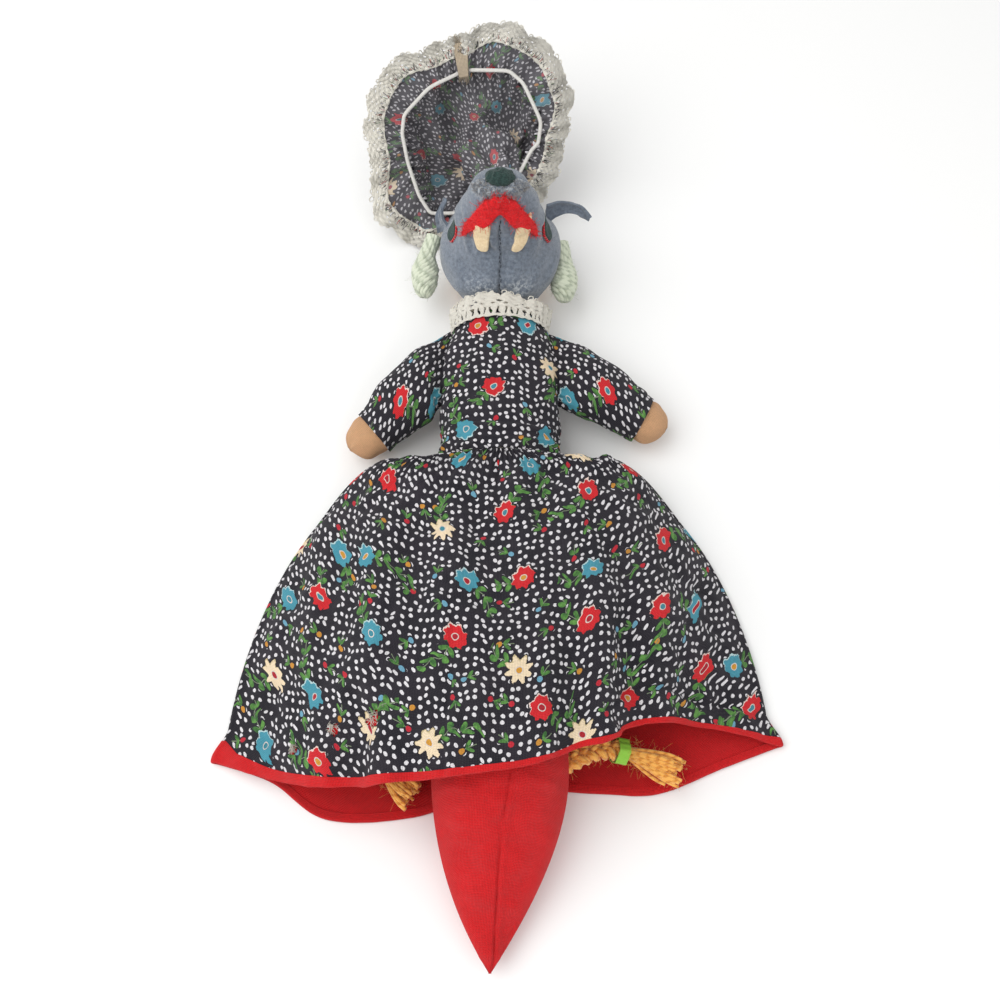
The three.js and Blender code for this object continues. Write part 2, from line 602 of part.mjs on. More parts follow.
// The elastic that gathers the mouth of the bonnet, and the tape tab over its join
const elasticLift = elasticRadius + clothThickness / 2 + 2 * gap;
const elasticHoop = mouthRadius + 1.2;
const elasticRing = (a) => turns(6).map((b) => onMouth(
  a, elasticHoop + elasticRadius * Math.cos(b), elasticLift + elasticRadius * Math.sin(b)));
add("bonnet_elastic", hoop(bonnetTurns.map(elasticRing)), COLOURS.elastic);
const tabTurn = 96 * degrees;
const tabInner = mouthRadius - 4;
const tabOuter = brimAt(tabTurn) + 5;
const tabLift = elasticLift + elasticRadius + 2 * gap;
const tabThickness = 1;
function tabPoint(u, v) {
  const turn = tabTurn - ((2 * u - 1) * tabWidth) / 2 / mouthRadius;
  return onMouth(turn, mix(tabInner, tabOuter, v), tabLift);
}
const tab = sheet(tabPoint, { us: [0, 0.5, 1], vs: steps(0, 1, 3), from: 0, to: tabThickness });
add("elastic_tab", tab, COLOURS.tape);

// Girl's head under the skirt
const headTurns = 24; // sides of her head and hood
const girlLevels = [92, 94.5, 99, 106, 116, 128, 140, 150, 157, 161.5, 164];
function girlHeadRing(d) {
  const share = roundEnd(Math.abs(d - girlHeadMiddle) / girlHeadCrown);
  const [wide, deep] = [girlHeadHalfWidth * share, girlHeadHalfDepth * share];
  return turns(headTurns).map((a) => V(wide * Math.cos(a), -d, girlHeadHeight + deep * Math.sin(a)));
}
add("girl_head", cut(loft(girlLevels.map(girlHeadRing)), neckEnd(-1, 2 * gap)), COLOURS.flesh);

// Hood: close round the head, then an empty point that flops to the table
const hoodNeckEdge = 92.5;
const hoodClose = 0.25; // how much looser than its clearance the hood is on the head
const hoodStraight = 158; // from the waist, where the hood begins to taper to its point
const hoodTaper = 1.85;
const hoodNeckSlope = 58;
const hoodStations = [hoodNeckEdge, 99, 107, 117, 128, 139, 149, 159, 170, 183, 197, 212, 226, 236];
const hoodFloor = 2 * clothThickness + 2 * gap; // the lowest that the hood comes, on the skirt's back
const hoodEase = gap + hoodClose + clothThickness;
const hoodTipShare = 0.985; // the point stops just short of nothing
const hoodFlattening = 0.3; // the empty point lies flatter than the full hood

function hoodHeightAt(d) {
  if (d < girlHeadMiddle) {
    return mix(bodyAxisHeight, girlHeadHeight, smooth((d - neckPivot) / (girlHeadMiddle - neckPivot)));
  }
  return mix(girlHeadHeight, hoodTipHeight, smooth((d - girlHeadMiddle) / (hoodTip - girlHeadMiddle)));
}

function hoodRing(d, inset) {
  const past = Math.min(hoodTipShare, Math.max(0, d - hoodStraight) / (hoodTip - hoodStraight));
  const neck = d > girlHeadMiddle ? 1 : roundEnd((girlHeadMiddle - d) / hoodNeckSlope);
  const share = neck * (1 - past ** hoodTaper);
  const x = hoodTipSideways * smooth(past);
  const z = hoodHeightAt(d);
  const wide = (girlHeadHalfWidth + hoodEase) * share - inset;
  const flat = 1 - hoodFlattening * smooth(past * 1.4);
  const deep = (girlHeadHalfDepth + hoodEase) * share * flat - inset;
  return turns(headTurns).map((a) => (
    V(x + wide * Math.cos(a), -d, Math.max(hoodFloor + inset, z + deep * Math.sin(a)))));
}
const hoodOutside = [...hoodStations, hoodTip - 1].map((d) => hoodRing(d, 0));
const hoodInside = hoodStations.map((d) => hoodRing(d, clothThickness)).reverse();
const hoodShell = loft([...hoodOutside.reverse(), ...hoodInside.reverse()]);
const hoodGrown = loft([...hoodStations, hoodTip - 1].map((d) => hoodRing(d, -1.5 * gap)));
const faceOpeningWidth = 38;
const faceOpeningLength = 28; // half of it, along the doll
const faceOpeningHeight = 14; // how far up from the table the hood's opening reaches
const faceOpening = new THREE.CylinderGeometry(1, 1, faceOpeningHeight, 20).rotateX(Math.PI / 2)
  .scale(faceOpeningWidth / 2, faceOpeningLength, 1)
  .translate(0, 5 - girlHeadMiddle, faceOpeningHeight / 2);
const chinHalfWidth = 11;
const chinOpening = block(V(-chinHalfWidth, -120, -1), V(chinHalfWidth, -80, faceOpeningHeight));
add("hood", cut(hoodShell, faceOpening, chinOpening), COLOURS.red);

// Braids with ribbon ties; each leaves the side of the hood and lies on the lining
// Tie is the share of the braid's length at which its ribbon is tied; the loose tassel follows it.
const braidPlaces = [
  {
    name: "left",
    tie: 0.72,
    points: [
      V(-30, -149, 24), V(-44, -138, 20), V(-60, -137, 12.5), V(-63, -147, 10.5), V(-52, -156, 10.2),
      V(-39.5, -166, 10.2),
    ],
  },
  {
    name: "right",
    tie: 0.47,
    points: [V(29, -154, 25), V(46, -146.5, 23), V(58, -146.5, 19), V(72, -150, 13.5), V(87, -156, 10.4)],
  },
];
const ribbonHalf = 0.045; // half of the ribbon's width, as a share of the braid's length
const ribbonThickness = 1.2;
const ribbonBite = 0.45; // how far the tied ribbon presses into the yarn
const tieWaist = 0.2; // how much slimmer the braid is in its tie
for (const { name, points, tie } of braidPlaces) {
  const radiusAt = (t) => {
    if (t < tie) return braidRadius * Math.min(1, 0.42 + t * 3.5);
    const free = (t - tie) / (1 - tie);
    const full = mix(braidRadius * 0.85, tasselRadius, smooth(free * 1.7));
    return full * roundEnd(Math.max(0, free - 0.45) / 0.56);
  };
  const radius = (t) => radiusAt(t) * (1 - tieWaist * Math.exp(-(((t - tie) / ribbonHalf) ** 2)));
  const braid = (grow) => loft(pathRings(points, (t) => radius(t) + grow, 10, 20));
  const path = new THREE.CatmullRomCurve3(points);
  const wrapped = (half, grow) => {
    const near = steps(tie - half, tie + half, 3).map((t) => path.getPointAt(t));
    return loft(pathRings(near, () => braidRadius + grow, 12, 3));
  };
  add(`braid_${name}`, cut(braid(0), hoodGrown), COLOURS.hair);
  const ribbon = cut(wrapped(ribbonHalf, ribbonThickness), wrapped(ribbonHalf * 2, -ribbonBite), braid(gap));
  add(`ribbon_${name}`, ribbon, COLOURS.ribbon);
}

// Skirt. Its front layer rises over the girl; its back layer lies flat on the table.
// Each pair is a place across the skirt, from its left side at -1 to its right side at 1, and the hem's y.
const hemCurve = (pairs) => new THREE.SplineCurve(pairs.map(([u, y]) => new THREE.Vector2(u, y)));
const hemFront = hemCurve([
  [-1, -147], [-0.57, -165], [0, -163.5], [0.3, -150], [0.52, -136], [0.78, -134], [1, -139],
]);
const hemBack = hemCurve([
  [-1, -147], [-0.8, -156], [-0.6, -173.5], [-0.3, -172.5], [0, -160], [0.35, -161.5], [0.56, -161.5],
  [0.8, -149], [1, -139],
]);
function hemY(curve, u) {
  let [low, high] = [0, 1];
  for (let i = 0; i < 24; i++) {
    const middle = (low + high) / 2;
    if (curve.getPoint(middle).x < u) low = middle;
    else high = middle;
  }
  return curve.getPoint((low + high) / 2).y;
}

// In these, s runs from the waist seam at 0 to the hem at 1, and c from the left side to the right.
const layers = clothThickness + gap;
const waistSide = waistHalfWidth + bodiceOuter + 2 * layers + gap;
const spreadEnd = 1.75; // the sides swell out fast below the waist and then run almost straight to the hem
const spreadStart = 0.46;
const sideSpread = (s) => (1 - (1 - clamped(s)) ** spreadEnd) ** spreadStart;
const kickStart = 0.9; // where the corners of the hem begin to reach out further
function skirtX(c, s) {
  const kick = hemKick * smooth((s - kickStart) / (1 - kickStart));
  return c * (waistSide + skirtSpread * sideSpread(s) + kick) * (c > 0 ? skirtRightShare : 1);
}
const waistSetIn = 0.6; // of the waist seam from the waist's middle, towards the wolf
const gatherRun = 0.05; // share of the skirt in which the side gathers puff up
function skirtY(curve, c, s) {
  const puff = (skirtWaistSide - waistSetIn) * Math.abs(c) ** 3 * smooth(s / gatherRun);
  return mix(waistSetIn + puff, hemY(curve, c), s);
}
const sideFall = 0.24; // share of the skirt in which its sides come down from the waist to the table
const edgeAt = (s) => mix(bodyAxisHeight - 2, skirtEdge, smooth(s / sideFall));

const crestAt = 0.75; // where the front is highest
const foldHeight = 1.6;
const foldTurns = 21;
const foldStart = 0.3;
const waistStart = 0.0005; // the front begins just past the seam, where its section is not yet square
function skirtFrontPoint(u, v) {
  const s = Math.max(waistStart, v);
  const c = Math.max(-1, Math.min(1, u));
  const r = Math.min(0.9999, Math.abs(c));
  const crest = Math.sin((Math.PI / 2) * Math.min(1, s / crestAt)) ** 2;
  const top = mix(skirtWaistTop, skirtTop, crest);
  // The front's section is a half ellipse at the waist and a bell further down.
  const shoulder = mix(mix(2, 1.8, s), 2.6, Math.sin(Math.PI * s));
  const shape = (1 - r ** shoulder) ** mix(0.5, 1.7, s ** 1.15);
  const spread = Math.sin(Math.PI * Math.min(1, r * 1.02)) * (1 - smooth((r - 0.8) / 0.2));
  const folds = foldHeight * smooth(s / foldStart) * spread * Math.sin(foldTurns * c + 2 * s);
  return V(skirtX(c, s), skirtY(hemFront, c, s), mix(edgeAt(s), top, shape) + folds);
}
// The front's corners dip a little at the waist when it is lifted, so the back lies lower there.
const dipRoom = 3.4;
const dipRun = 0.14; // share of the skirt in which they dip
const sideCurl = 7; // how sharply the back turns up at its sides
function skirtBackPoint(u, s) {
  const c = Math.max(-1, Math.min(1, u));
  const dip = edgeAt(s) > skirtEdge + dipRoom ? dipRoom * (1 - smooth(s / dipRun)) : 0;
  const rise = (edgeAt(s) - skirtEdge - dip) * Math.abs(c) ** sideCurl;
  return V(skirtX(c, s), skirtY(hemBack, c, s), rise);
}

const mirrored = (shares) => [...shares.map((u) => -u).reverse(), 0, ...shares];
const frontUs = mirrored([0.1, 0.21, 0.32, 0.43, 0.54, 0.65, 0.76, 0.86, 0.94, 1]);
const backUs = mirrored([0.2, 0.4, 0.62, 0.78, 0.9, 1]);
const seamShare = 0.005; // between the cloth's edge and the binding, as a share of the skirt
const clothEnd = hemShare - seamShare;
const frontVs = [0, 0.02, 0.06, 0.13, 0.24, 0.38, 0.53, 0.68, 0.82, clothEnd];
const backVs = [0, 0.03, 0.08, 0.16, 0.3, 0.6, clothEnd];
const bandVs = [hemShare, 1];
const frontSheet = (vs, from, to) => sheet(skirtFrontPoint, { us: frontUs, vs, from, to, flip: -1 });
// The layers of the back are stacked straight up, so the lowest lies flat on the table.
function backSheet(vs, from, to) {
  const rows = (lift) => backUs.map((u) => vs.map((s) => skirtBackPoint(u, s).add(V(0, 0, lift))));
  return slabBetween(rows(from), rows(to));
}
const deepest = layers + clothThickness;
add("skirt_calico_front", frontSheet(frontVs, 0, -clothThickness), COLOURS.calico);
add("skirt_lining_front", frontSheet(frontVs, -layers, -deepest), COLOURS.red);
add("hem_binding_front", frontSheet(bandVs, 0, -deepest), COLOURS.red);
add("skirt_calico_back", backSheet(backVs, 0, clothThickness), COLOURS.calico);
add("skirt_lining_back", backSheet(backVs, layers, deepest), COLOURS.red);
add("hem_binding_back", backSheet(bandVs, 0, deepest), COLOURS.red);

// The frame's origin is under the middle of the whole doll, on the table
const bounds = new THREE.Box3().setFromObject(doll);
const middle = bounds.getCenter(V(0, 0, 0));
doll.position.set(-middle.x, -middle.y, -bounds.min.z);

export default doll;
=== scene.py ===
# %% [markdown]
# # A cloth topsy-turvy doll
# The doll lies on its back and is seen from the hood's end. The imported model gives the frame: the
# pieces here take the place of its soft solids, and most ride on its bodies.

# %% Load the imported doll
import math
from functools import partial

import bmesh
import bpy
import numpy as np
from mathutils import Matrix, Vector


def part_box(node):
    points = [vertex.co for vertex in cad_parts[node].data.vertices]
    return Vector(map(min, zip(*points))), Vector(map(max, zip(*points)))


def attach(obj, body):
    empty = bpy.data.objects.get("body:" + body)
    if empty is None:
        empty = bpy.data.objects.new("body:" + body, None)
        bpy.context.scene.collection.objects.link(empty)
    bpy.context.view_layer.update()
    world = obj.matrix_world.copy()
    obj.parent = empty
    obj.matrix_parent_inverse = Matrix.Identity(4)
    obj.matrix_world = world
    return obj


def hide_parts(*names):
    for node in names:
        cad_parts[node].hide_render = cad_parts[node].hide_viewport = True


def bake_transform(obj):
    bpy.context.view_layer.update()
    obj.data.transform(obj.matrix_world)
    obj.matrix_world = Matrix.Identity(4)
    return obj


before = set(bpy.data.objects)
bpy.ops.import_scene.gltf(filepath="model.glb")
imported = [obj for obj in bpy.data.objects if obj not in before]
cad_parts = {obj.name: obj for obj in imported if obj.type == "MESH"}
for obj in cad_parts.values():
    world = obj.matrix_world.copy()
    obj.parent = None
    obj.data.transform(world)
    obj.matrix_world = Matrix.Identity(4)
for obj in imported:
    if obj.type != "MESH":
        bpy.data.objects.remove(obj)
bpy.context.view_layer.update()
low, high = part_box("body_core")
# The doll's own origin is under the middle of its waist. Lengths here are millimetres from there.
ORIGIN = np.array([(low.x + high.x) / 2, (low.y + high.y) / 2, 0.0])
MM = 0.001
print("doll origin in the frame:", ORIGIN)

# %% [markdown]
# The camera comes first, because every later choice is judged through it. It looks down at 65
# degrees from the end where the hood lies. The far end of the doll comes out slightly smaller, as
# in the photograph.

# %% Camera
CAMERA_DISTANCE = 0.6
LOOK_DOWN = math.radians(65)
target = ORIGIN + np.array([0, -25.5, 40]) * MM
camera_data = bpy.data.cameras.new("camera")
camera_data.sensor_width = 36
camera_data.lens = 43.45
camera = bpy.data.objects.new("camera", camera_data)
camera.location = target + CAMERA_DISTANCE * np.array(
    [0, -math.cos(LOOK_DOWN), math.sin(LOOK_DOWN)])
camera.rotation_euler = (math.pi / 2 - LOOK_DOWN, 0, 0)
bpy.context.scene.collection.objects.link(camera)
bpy.context.scene.camera = camera
bpy.context.scene.view_settings.view_transform = "Standard"
print("camera at", np.round(camera.location, 3), "metres, lens", camera_data.lens, "mm")

# %% [markdown]
# A material is a small tree of nodes. One helper adds a node, sets it up and links its inputs, so
# that a pattern reads from top to bottom. Colours are picked in sRGB, as on a paint chart, but
# light adds up linearly, so one function turns them to linear values.


# %% Colours and nodes
def colour(text):
    channels = [int(text[i : i + 2], 16) / 255 for i in (1, 3, 5)]
    return [c / 12.92 if c <= 0.04045 else ((c + 0.055) / 1.055) ** 2.4 for c in channels] + [1.0]


ARITHMETIC = {"+": "ADD", "-": "SUBTRACT", "*": "MULTIPLY", "/": "DIVIDE", "*+": "MULTIPLY_ADD",
              "<": "LESS_THAN", ">": "GREATER_THAN", "abs": "ABSOLUTE", "max": "MAXIMUM",
              "wrap": "WRAP", "sin": "SINE", "cos": "COSINE", "atan2": "ARCTAN2"}


def node(tree, kind, *inputs, out=0, named=None, stops=(), **settings):
    """Adds a node with its settings and links, such as "*" or "Bump", and returns one output."""
    if kind in ARITHMETIC:
        kind = "Math " + ARITHMETIC[kind]
    kind, *operation = kind.split()
    made = tree.nodes.new("ShaderNode" + kind)
    for name, value in [*zip(["operation"], operation), *settings.items()]:
        setattr(made, name, value)
    for i, (place, text) in enumerate(stops):
        if i >= len(made.color_ramp.elements):
            made.color_ramp.elements.new(place)
        made.color_ramp.elements[i].position = place
        made.color_ramp.elements[i].color = colour(text)
    for key, value in [*enumerate(inputs), *(named or {}).items()]:
        if isinstance(value, bpy.types.NodeSocket):
            tree.links.new(value, made.inputs[key])
        elif value is not None:
            made.inputs[key].default_value = value
    return made.outputs[out]


def new_material(name, roughness, sheen=0.0):
    material = bpy.data.materials.new(name)
    material.use_nodes = True
    shader = material.node_tree.nodes["Principled BSDF"]
    shine = 0.3  # threads trap much of it between them
    for socket, value in zip(("Roughness", "IOR", "Sheen Weight", "Specular IOR Level"),
                             (roughness, 1.5, sheen, shine)):
        shader.inputs[socket].default_value = value
    return material, partial(node, material.node_tree), shader


def link(shader, **outputs):
    """Links outputs to the shader's inputs of the same names."""
    for name, output in outputs.items():
        shader.id_data.links.new(output, shader.inputs[name.replace("_", " ")])


MIX = {"data_type": "RGBA", "out": 2}
UNDER, OVER = 6, 7  # the Mix node's two colour sockets
print("the mid grey #808080 gives", round(colour("#808080")[0], 3), "of white's light")

# %% [markdown]
# Cloth is woven from crossing threads. Calico has about 24 threads to the centimetre, which is
# finer than one pixel here, so the weave is drawn at 1 mm to be seen. Each cloth piece carries a UV
# map called cloth, in metres of flat cloth, so the weave and the print run along the fabric.

# %% Weave
WEAVE_MM = 1.0
MM_PER_METRE = [1000, 1000, 1000]


def in_mm(add, kind, **settings):
    """A place on the flat cloth or in the solid, in millimetres."""
    return add("VectorMath MULTIPLY", add(kind, **settings), MM_PER_METRE)


def woven(add, shader, base, threads=0.3, depth=0.5, mottle=0.14, pitch=WEAVE_MM, glint=0.0):
    """Crossing threads with painted shade, and mottling. Glint is painted highlight and pale fluff.
    """
    place = in_mm(add, "UVMap", uv_map="cloth")
    solid_place = in_mm(add, "TexCoord", out=3)
    x = add("SeparateXYZ", place)
    y = x.node.outputs[1]
    turned = math.sqrt(2) * math.pi / pitch
    warp = add("*", add("+", x, y), turned)
    weft = add("*", add("-", x, y), turned)
    crossing = add("*", add("sin", warp), add("sin", weft))
    worn = add("TexNoise", solid_place, None, 0.08, 3.0, 0.6)
    slub = add("TexNoise", solid_place, None, 0.9, 2.0, 0.7)
    shade = add("*+", crossing, threads / 2, 1.0)
    both = add("+", worn, slub)
    tone = add("*+", both, mottle * 2, 1 - mottle * 2)
    light = add("*", shade, tone)
    # Painted highlight on the threads' tops, partly standing for pale fluff on them.
    fluff = add("*", add("max", crossing, 0.0), glint)
    shaded = add("VectorMath MULTIPLY", base, add("CombineXYZ", light, light, light))
    rough = shader.inputs["Roughness"].default_value
    height = add("*+", slub, 1.2, crossing)
    link(shader, Base_Color=add("VectorMath ADD", shaded, fluff),
         Roughness=add("*+", worn, 0.2, rough - 0.1),
         Normal=add("Bump", named={"Strength": depth, "Distance": 0.0004, "Height": height}))


def plain_cloth(name, text, roughness=0.85, sheen=0.05, **weave):
    material, add, shader = new_material(name, roughness, sheen)
    base = add("RGB")
    base.default_value = colour(text)
    woven(add, shader, base, **weave)
    return material


print("the weave repeats every", WEAVE_MM, "mm, at 45 degrees to the cloth's own grid")

# %% [markdown]
# The calico is a ditsy print: white pin dots on navy, with small flowers, buds and leafy sprigs
# strewn over it. Voronoi cells scatter the motifs. Each cell gives the place of its own motif and a
# random colour, and the motif is then drawn in the cell's own turned coordinates with a little
# arithmetic: a flower is a circle whose radius waves with the angle, and a leaf is an ellipse that
# repeats along a wavy stem. The spacings are those of such a print: dots about 4 mm apart, flowers
# 13 mm across and about 35 mm apart.

# %% Motifs of the print
DOT_MM, DOT_RADIUS = 4.1, 0.99
FLOWER_MM, PETAL_RADIUS, CENTRE_RADIUS = 35.0, 5.4, 1.4
BUD_MM, BUD_RADIUS = 17.0, 1.35
LEAF_STEP, LEAF_LONG, LEAF_WIDE = 5.0, 2.5, 1.15


def leaf(add, along, side, tilt, long, wide):
    """Less than 1 inside a leaf that lies tilted beside its stem."""
    turned_x = add("+", add("*", along, math.cos(tilt)), add("*", side, math.sin(tilt)))
    turned_y = add("-", add("*", side, math.cos(tilt)), add("*", along, math.sin(tilt)))
    squashed = add("CombineXYZ", add("/", turned_x, long), add("/", turned_y, wide), 0.0)
    return add("VectorMath LENGTH", squashed, out=1)


def scattered(add, place, spacing, randomness):
    """The nearest motif: the place in its own turned axes, its middle and three random numbers."""
    middle = add("TexVoronoi", place, out=2, named={"Scale": 1 / spacing, "Randomness": randomness},
                 voronoi_dimensions="2D")
    chance = add("SeparateColor", middle.node.outputs[1])
    local = add("VectorMath SUBTRACT", place, middle)
    turn = add("*", chance, 2 * math.pi)
    own = add("VectorRotate", local, named={"Angle": turn}, rotation_type="Z_AXIS")
    return own, middle, [chance.node.outputs[i] for i in range(3)], local


print("a flower every", FLOWER_MM, "mm, a bud every", BUD_MM, "mm and a dot every", DOT_MM, "mm")

# %% [markdown]
# The print itself is laid down as a screen printer does it, one ink over another: the ground, the
# pin dots, the sprigs and buds, and the flowers last. Scattered flat meshes could draw it too, but
# a print has no thickness and has to follow every fold, so it is part of the finish.


# %% Calico print
def ditsy(add):
    def within(value, limit, where):
        return add("*", add("<", value, limit), where)

    place = in_mm(add, "UVMap", uv_map="cloth")
    wobble = add("TexNoise", place, None, 0.9, 1.0, 0.5)
    # Flowers and the sprig that grows out of each
    own, _, (_, kind, heart), local = scattered(add, place, FLOWER_MM, 0.62)
    x = add("SeparateXYZ", own)
    y = x.node.outputs[1]
    radius = add("VectorMath LENGTH", own, out=1)
    angle = add("atan2", y, x)
    wave = add("cos", add("*", angle, 8.0))
    daisy = add(">", kind, 0.68)
    notch = add("*+", daisy, 0.75, 0.55)
    reach = add("*+", wave, notch, PETAL_RADIUS)
    uneven = add("*+", wobble, 1.8, reach)
    edge = add("-", add("-", uneven, 0.9), radius)
    lit = add("VectorMath DOT_PRODUCT", add("VectorMath NORMALIZE", local), [-0.35, -0.8, 0], out=1)
    rim = add("+", edge, add("*", lit, 0.9))
    along = add("-", x, PETAL_RADIUS)
    arching = add("*+", add("*", along, along), -0.035, y)
    bend = add("sin", add("*", along, 0.7))
    off = add("*+", bend, -0.6, arching)
    beside = add("abs", off)
    reached = add("abs", add("-", along, 8.6))
    on_stem = add("<", reached, 9.6)
    step = add("-", add("wrap", along, LEAF_STEP, 0.0), LEAF_STEP / 2)
    leaves = leaf(add, step, add("-", beside, 1.9), 0.85, LEAF_LONG, LEAF_WIDE)
    # Buds with a pair of leaves
    bud_own, bud_middle, (_, bud_kind, _), _ = scattered(add, place, BUD_MM, 0.8)
    bud_x = add("SeparateXYZ", bud_own)
    bud_side = add("abs", bud_x.node.outputs[1])
    bud_radius = add("VectorMath LENGTH", bud_own, out=1)
    flower_near = add("TexVoronoi", bud_middle, named={"Scale": 1 / FLOWER_MM, "Randomness": 0.62},
                      voronoi_dimensions="2D")
    clear = add(">", flower_near, 11 / FLOWER_MM)
    bud_leaf = leaf(add, add("-", bud_x, 3.6), add("-", bud_side, 1.3), 0.7, 2.0, 0.8)
    stem_place = add("abs", add("-", bud_x, 4.0))
    # Pin dots keep clear of the motifs
    dots = add("TexVoronoi", place, named={"Scale": 1 / DOT_MM, "Randomness": 0.55},
               voronoi_dimensions="2D")
    round_dot = add("*+", wobble, 0.1, DOT_RADIUS / DOT_MM - 0.05)
    dot = add("<", dots, round_dot)
    near = [
        add(">", edge, -1.3),
        within(leaves, 1.55, on_stem),
        within(bud_leaf, 1.5, clear),
        within(bud_radius, 2.2, clear),
    ]
    for mask in near:
        dot = add("-", dot, mask)
    dot = add("max", dot, 0.0)
    # The layers of ink, from the ground up
    patch = add("TexNoise", place, None, 0.05, 2.0, 0.5)
    green = add("ValToRGB", add("TexNoise", place, None, 0.35, 2.0, 0.5),
                stops=[(0.35, "#33602e"), (0.65, "#639a48")])
    ink = add("ValToRGB", patch, stops=[(0.3, "#12101a"), (0.7, "#26212a")])
    ink = add("Mix", dot, named={UNDER: ink, OVER: colour("#dfdcdf")}, **MIX)
    stem = colour("#7d8a70")
    buds = [(0, "#bf2434"), (0.42, "#c98b34"), (0.72, "#6da3bb")]
    rims = [(0, "#e8d2c8"), (0.38, "#b9d4d6"), (0.68, "#cbb98f")]
    petals = [(0, "#cf1f27"), (0.38, "#4795a8"), (0.68, "#eed9b8")]
    hearts = [(0, "#a81d2b"), (0.45, "#cf9434"), (0.75, "#3c8797")]
    shapes = [
        (within(bud_side, 0.22, within(stem_place, 3.0, clear)), stem),
        (within(bud_leaf, 1.0, clear), green),
        (within(bud_radius, BUD_RADIUS, clear), (bud_kind, buds)),
        (within(beside, 0.26, on_stem), stem),
        (within(leaves, 1.0, on_stem), green),
        (add(">", rim, 0.0), (kind, rims)),
        (add(">", edge, 0.0), (kind, petals)),
        (add("<", radius, CENTRE_RADIUS + 0.45), colour("#d9cfc6")),
        (add("<", radius, CENTRE_RADIUS), (heart, hearts)),
    ]
    for mask, paint in shapes:
        if isinstance(paint, tuple):  # a random number picks one of three colours
            paint = add("ValToRGB", paint[0], stops=paint[1])
            paint.node.color_ramp.interpolation = "CONSTANT"
        ink = add("Mix", mask, named={UNDER: ink, OVER: paint}, **MIX)
    return ink


def calico(name, faded, fluff):
    material, add, shader = new_material(name, 0.82, 0.03)
    ink = ditsy(add)
    if faded:
        ink = add("Mix", faded, named={UNDER: ink, OVER: colour("#d8d4dc")}, **MIX)
    # fluff goes in as glint: a painted highlight on the thread tops, and pale fluff.
    woven(add, shader, ink, threads=0.5, depth=0.6 + faded, mottle=0.16, glint=fluff)
    return material


# The last number of each is the painted highlight and fluff on the thread tops.
CALICO = calico("printed_calico", 0.0, 0.03)
CALICO_BACK = calico("printed_calico_wrong_side", 0.19, 0.1)
print("calico nodes:", len(CALICO.node_tree.nodes))

# %% [markdown]
# The other cloths are plain. Red cotton lines the skirt and makes the hood, a brushed grey cotton
# is the wolf, tan cotton the hands. Felt has no threads, only matted fibres, so its pattern is
# noise without a weave, and fuzz of real fibres is added to it later.


# %% Plain cloths, felt and yarn
def felt(name, pale, dark, scale=1.6, depth=1.0):
    material, add, shader = new_material(name, 0.95, 0.15)
    mat = add("TexNoise", in_mm(add, "TexCoord", out=3), None, scale, 4.0, 0.7)
    link(shader, Base_Color=add("ValToRGB", mat, stops=[(0.3, dark), (0.65, pale)]),
         Normal=add("Bump", named={"Strength": depth, "Distance": 0.0007, "Height": mat}))
    return material


def yarn(name, pale, dark, plies=2.6, depth=0.8, sheen=0.35):
    """Twisted plies: stripes of painted shade that run round each strand as they go along it."""
    material, add, shader = new_material(name, 0.9, sheen)
    place = in_mm(add, "UVMap", uv_map="cloth")
    x = add("SeparateXYZ", place)
    twist = add("*", x, 2 * math.pi / plies)
    twist = add("*+", x.node.outputs[1], 2 * math.pi, twist)
    # Painted shade: the colour darkens where the plies dip between each other.
    ply_groove_shade = add("*+", add("sin", twist), 0.5, 0.5)
    fibre = add("TexNoise", place, None, 1.2, 3.0, 0.6)
    both = add("+", ply_groove_shade, add("*", fibre, 0.9))
    link(shader, Base_Color=add("ValToRGB", both, stops=[(0.35, dark), (0.95, pale)]),
         Normal=add("Bump", named={"Strength": depth, "Distance": 0.0005, "Height": both}))
    return material


RED = plain_cloth("red_cotton", "#dd1b20", threads=0.5, depth=0.8, mottle=0.16)
SKIN = plain_cloth("tan_cotton", "#dcab80", threads=0.4, depth=0.8)
PALE_SKIN = plain_cloth("pale_cotton", "#dcb592", threads=0.25)
MUSLIN = plain_cloth("muslin", "#d8cfba", threads=0.3)
TAPE = plain_cloth("twill_tape", "#cbb9a0", threads=0.5, depth=0.9)
LACE = plain_cloth(
    "cotton_lace", "#fffaec", 0.9, 0.35, threads=0.16, depth=0.9, mottle=0.06, pitch=0.9)
ELASTIC = plain_cloth("braided_elastic", "#efece6", 0.7, threads=0.35, depth=0.8, pitch=1.0)
THREAD = plain_cloth("sewing_thread", "#d9d2c6", 0.8, threads=0.2)
DARK_THREAD = plain_cloth("dark_thread", "#2c3038", 0.8, threads=0.2)
DARK_FELT = felt("dark_felt", "#35504b", "#16211f")
RED_FELT = felt("red_felt", "#f8262c", "#cc141b", 1.1, 1.0)
CREAM_FELT = felt("cream_felt", "#f0dcb8", "#dcc094", 1.0, 0.5)
RED_THREAD = yarn("red_embroidery_thread", "#cf2b30", "#8c1518", 1.6)
PALE_YARN = yarn("pale_wool_yarn", "#d3d9c4", "#a7b09a", 5.5, 0.5)
RUST_YARN = yarn("rust_wool_yarn", "#f5b65a", "#d3832e", 4.8, 0.5)
RIBBON = plain_cloth("satin_ribbon", "#8cc63f", 0.4, 0.1, threads=0.12, depth=0.2, mottle=0.06)
print("finishes so far:", ", ".join(material.name for material in bpy.data.materials))

# %% [markdown]
# The wolf's head is brushed cotton. It has been glued at the neck, which left whitish stains, and
# the cloth is paler where the nose was sewn on. Both are painted from an attribute called stain
# that the mesh carries.


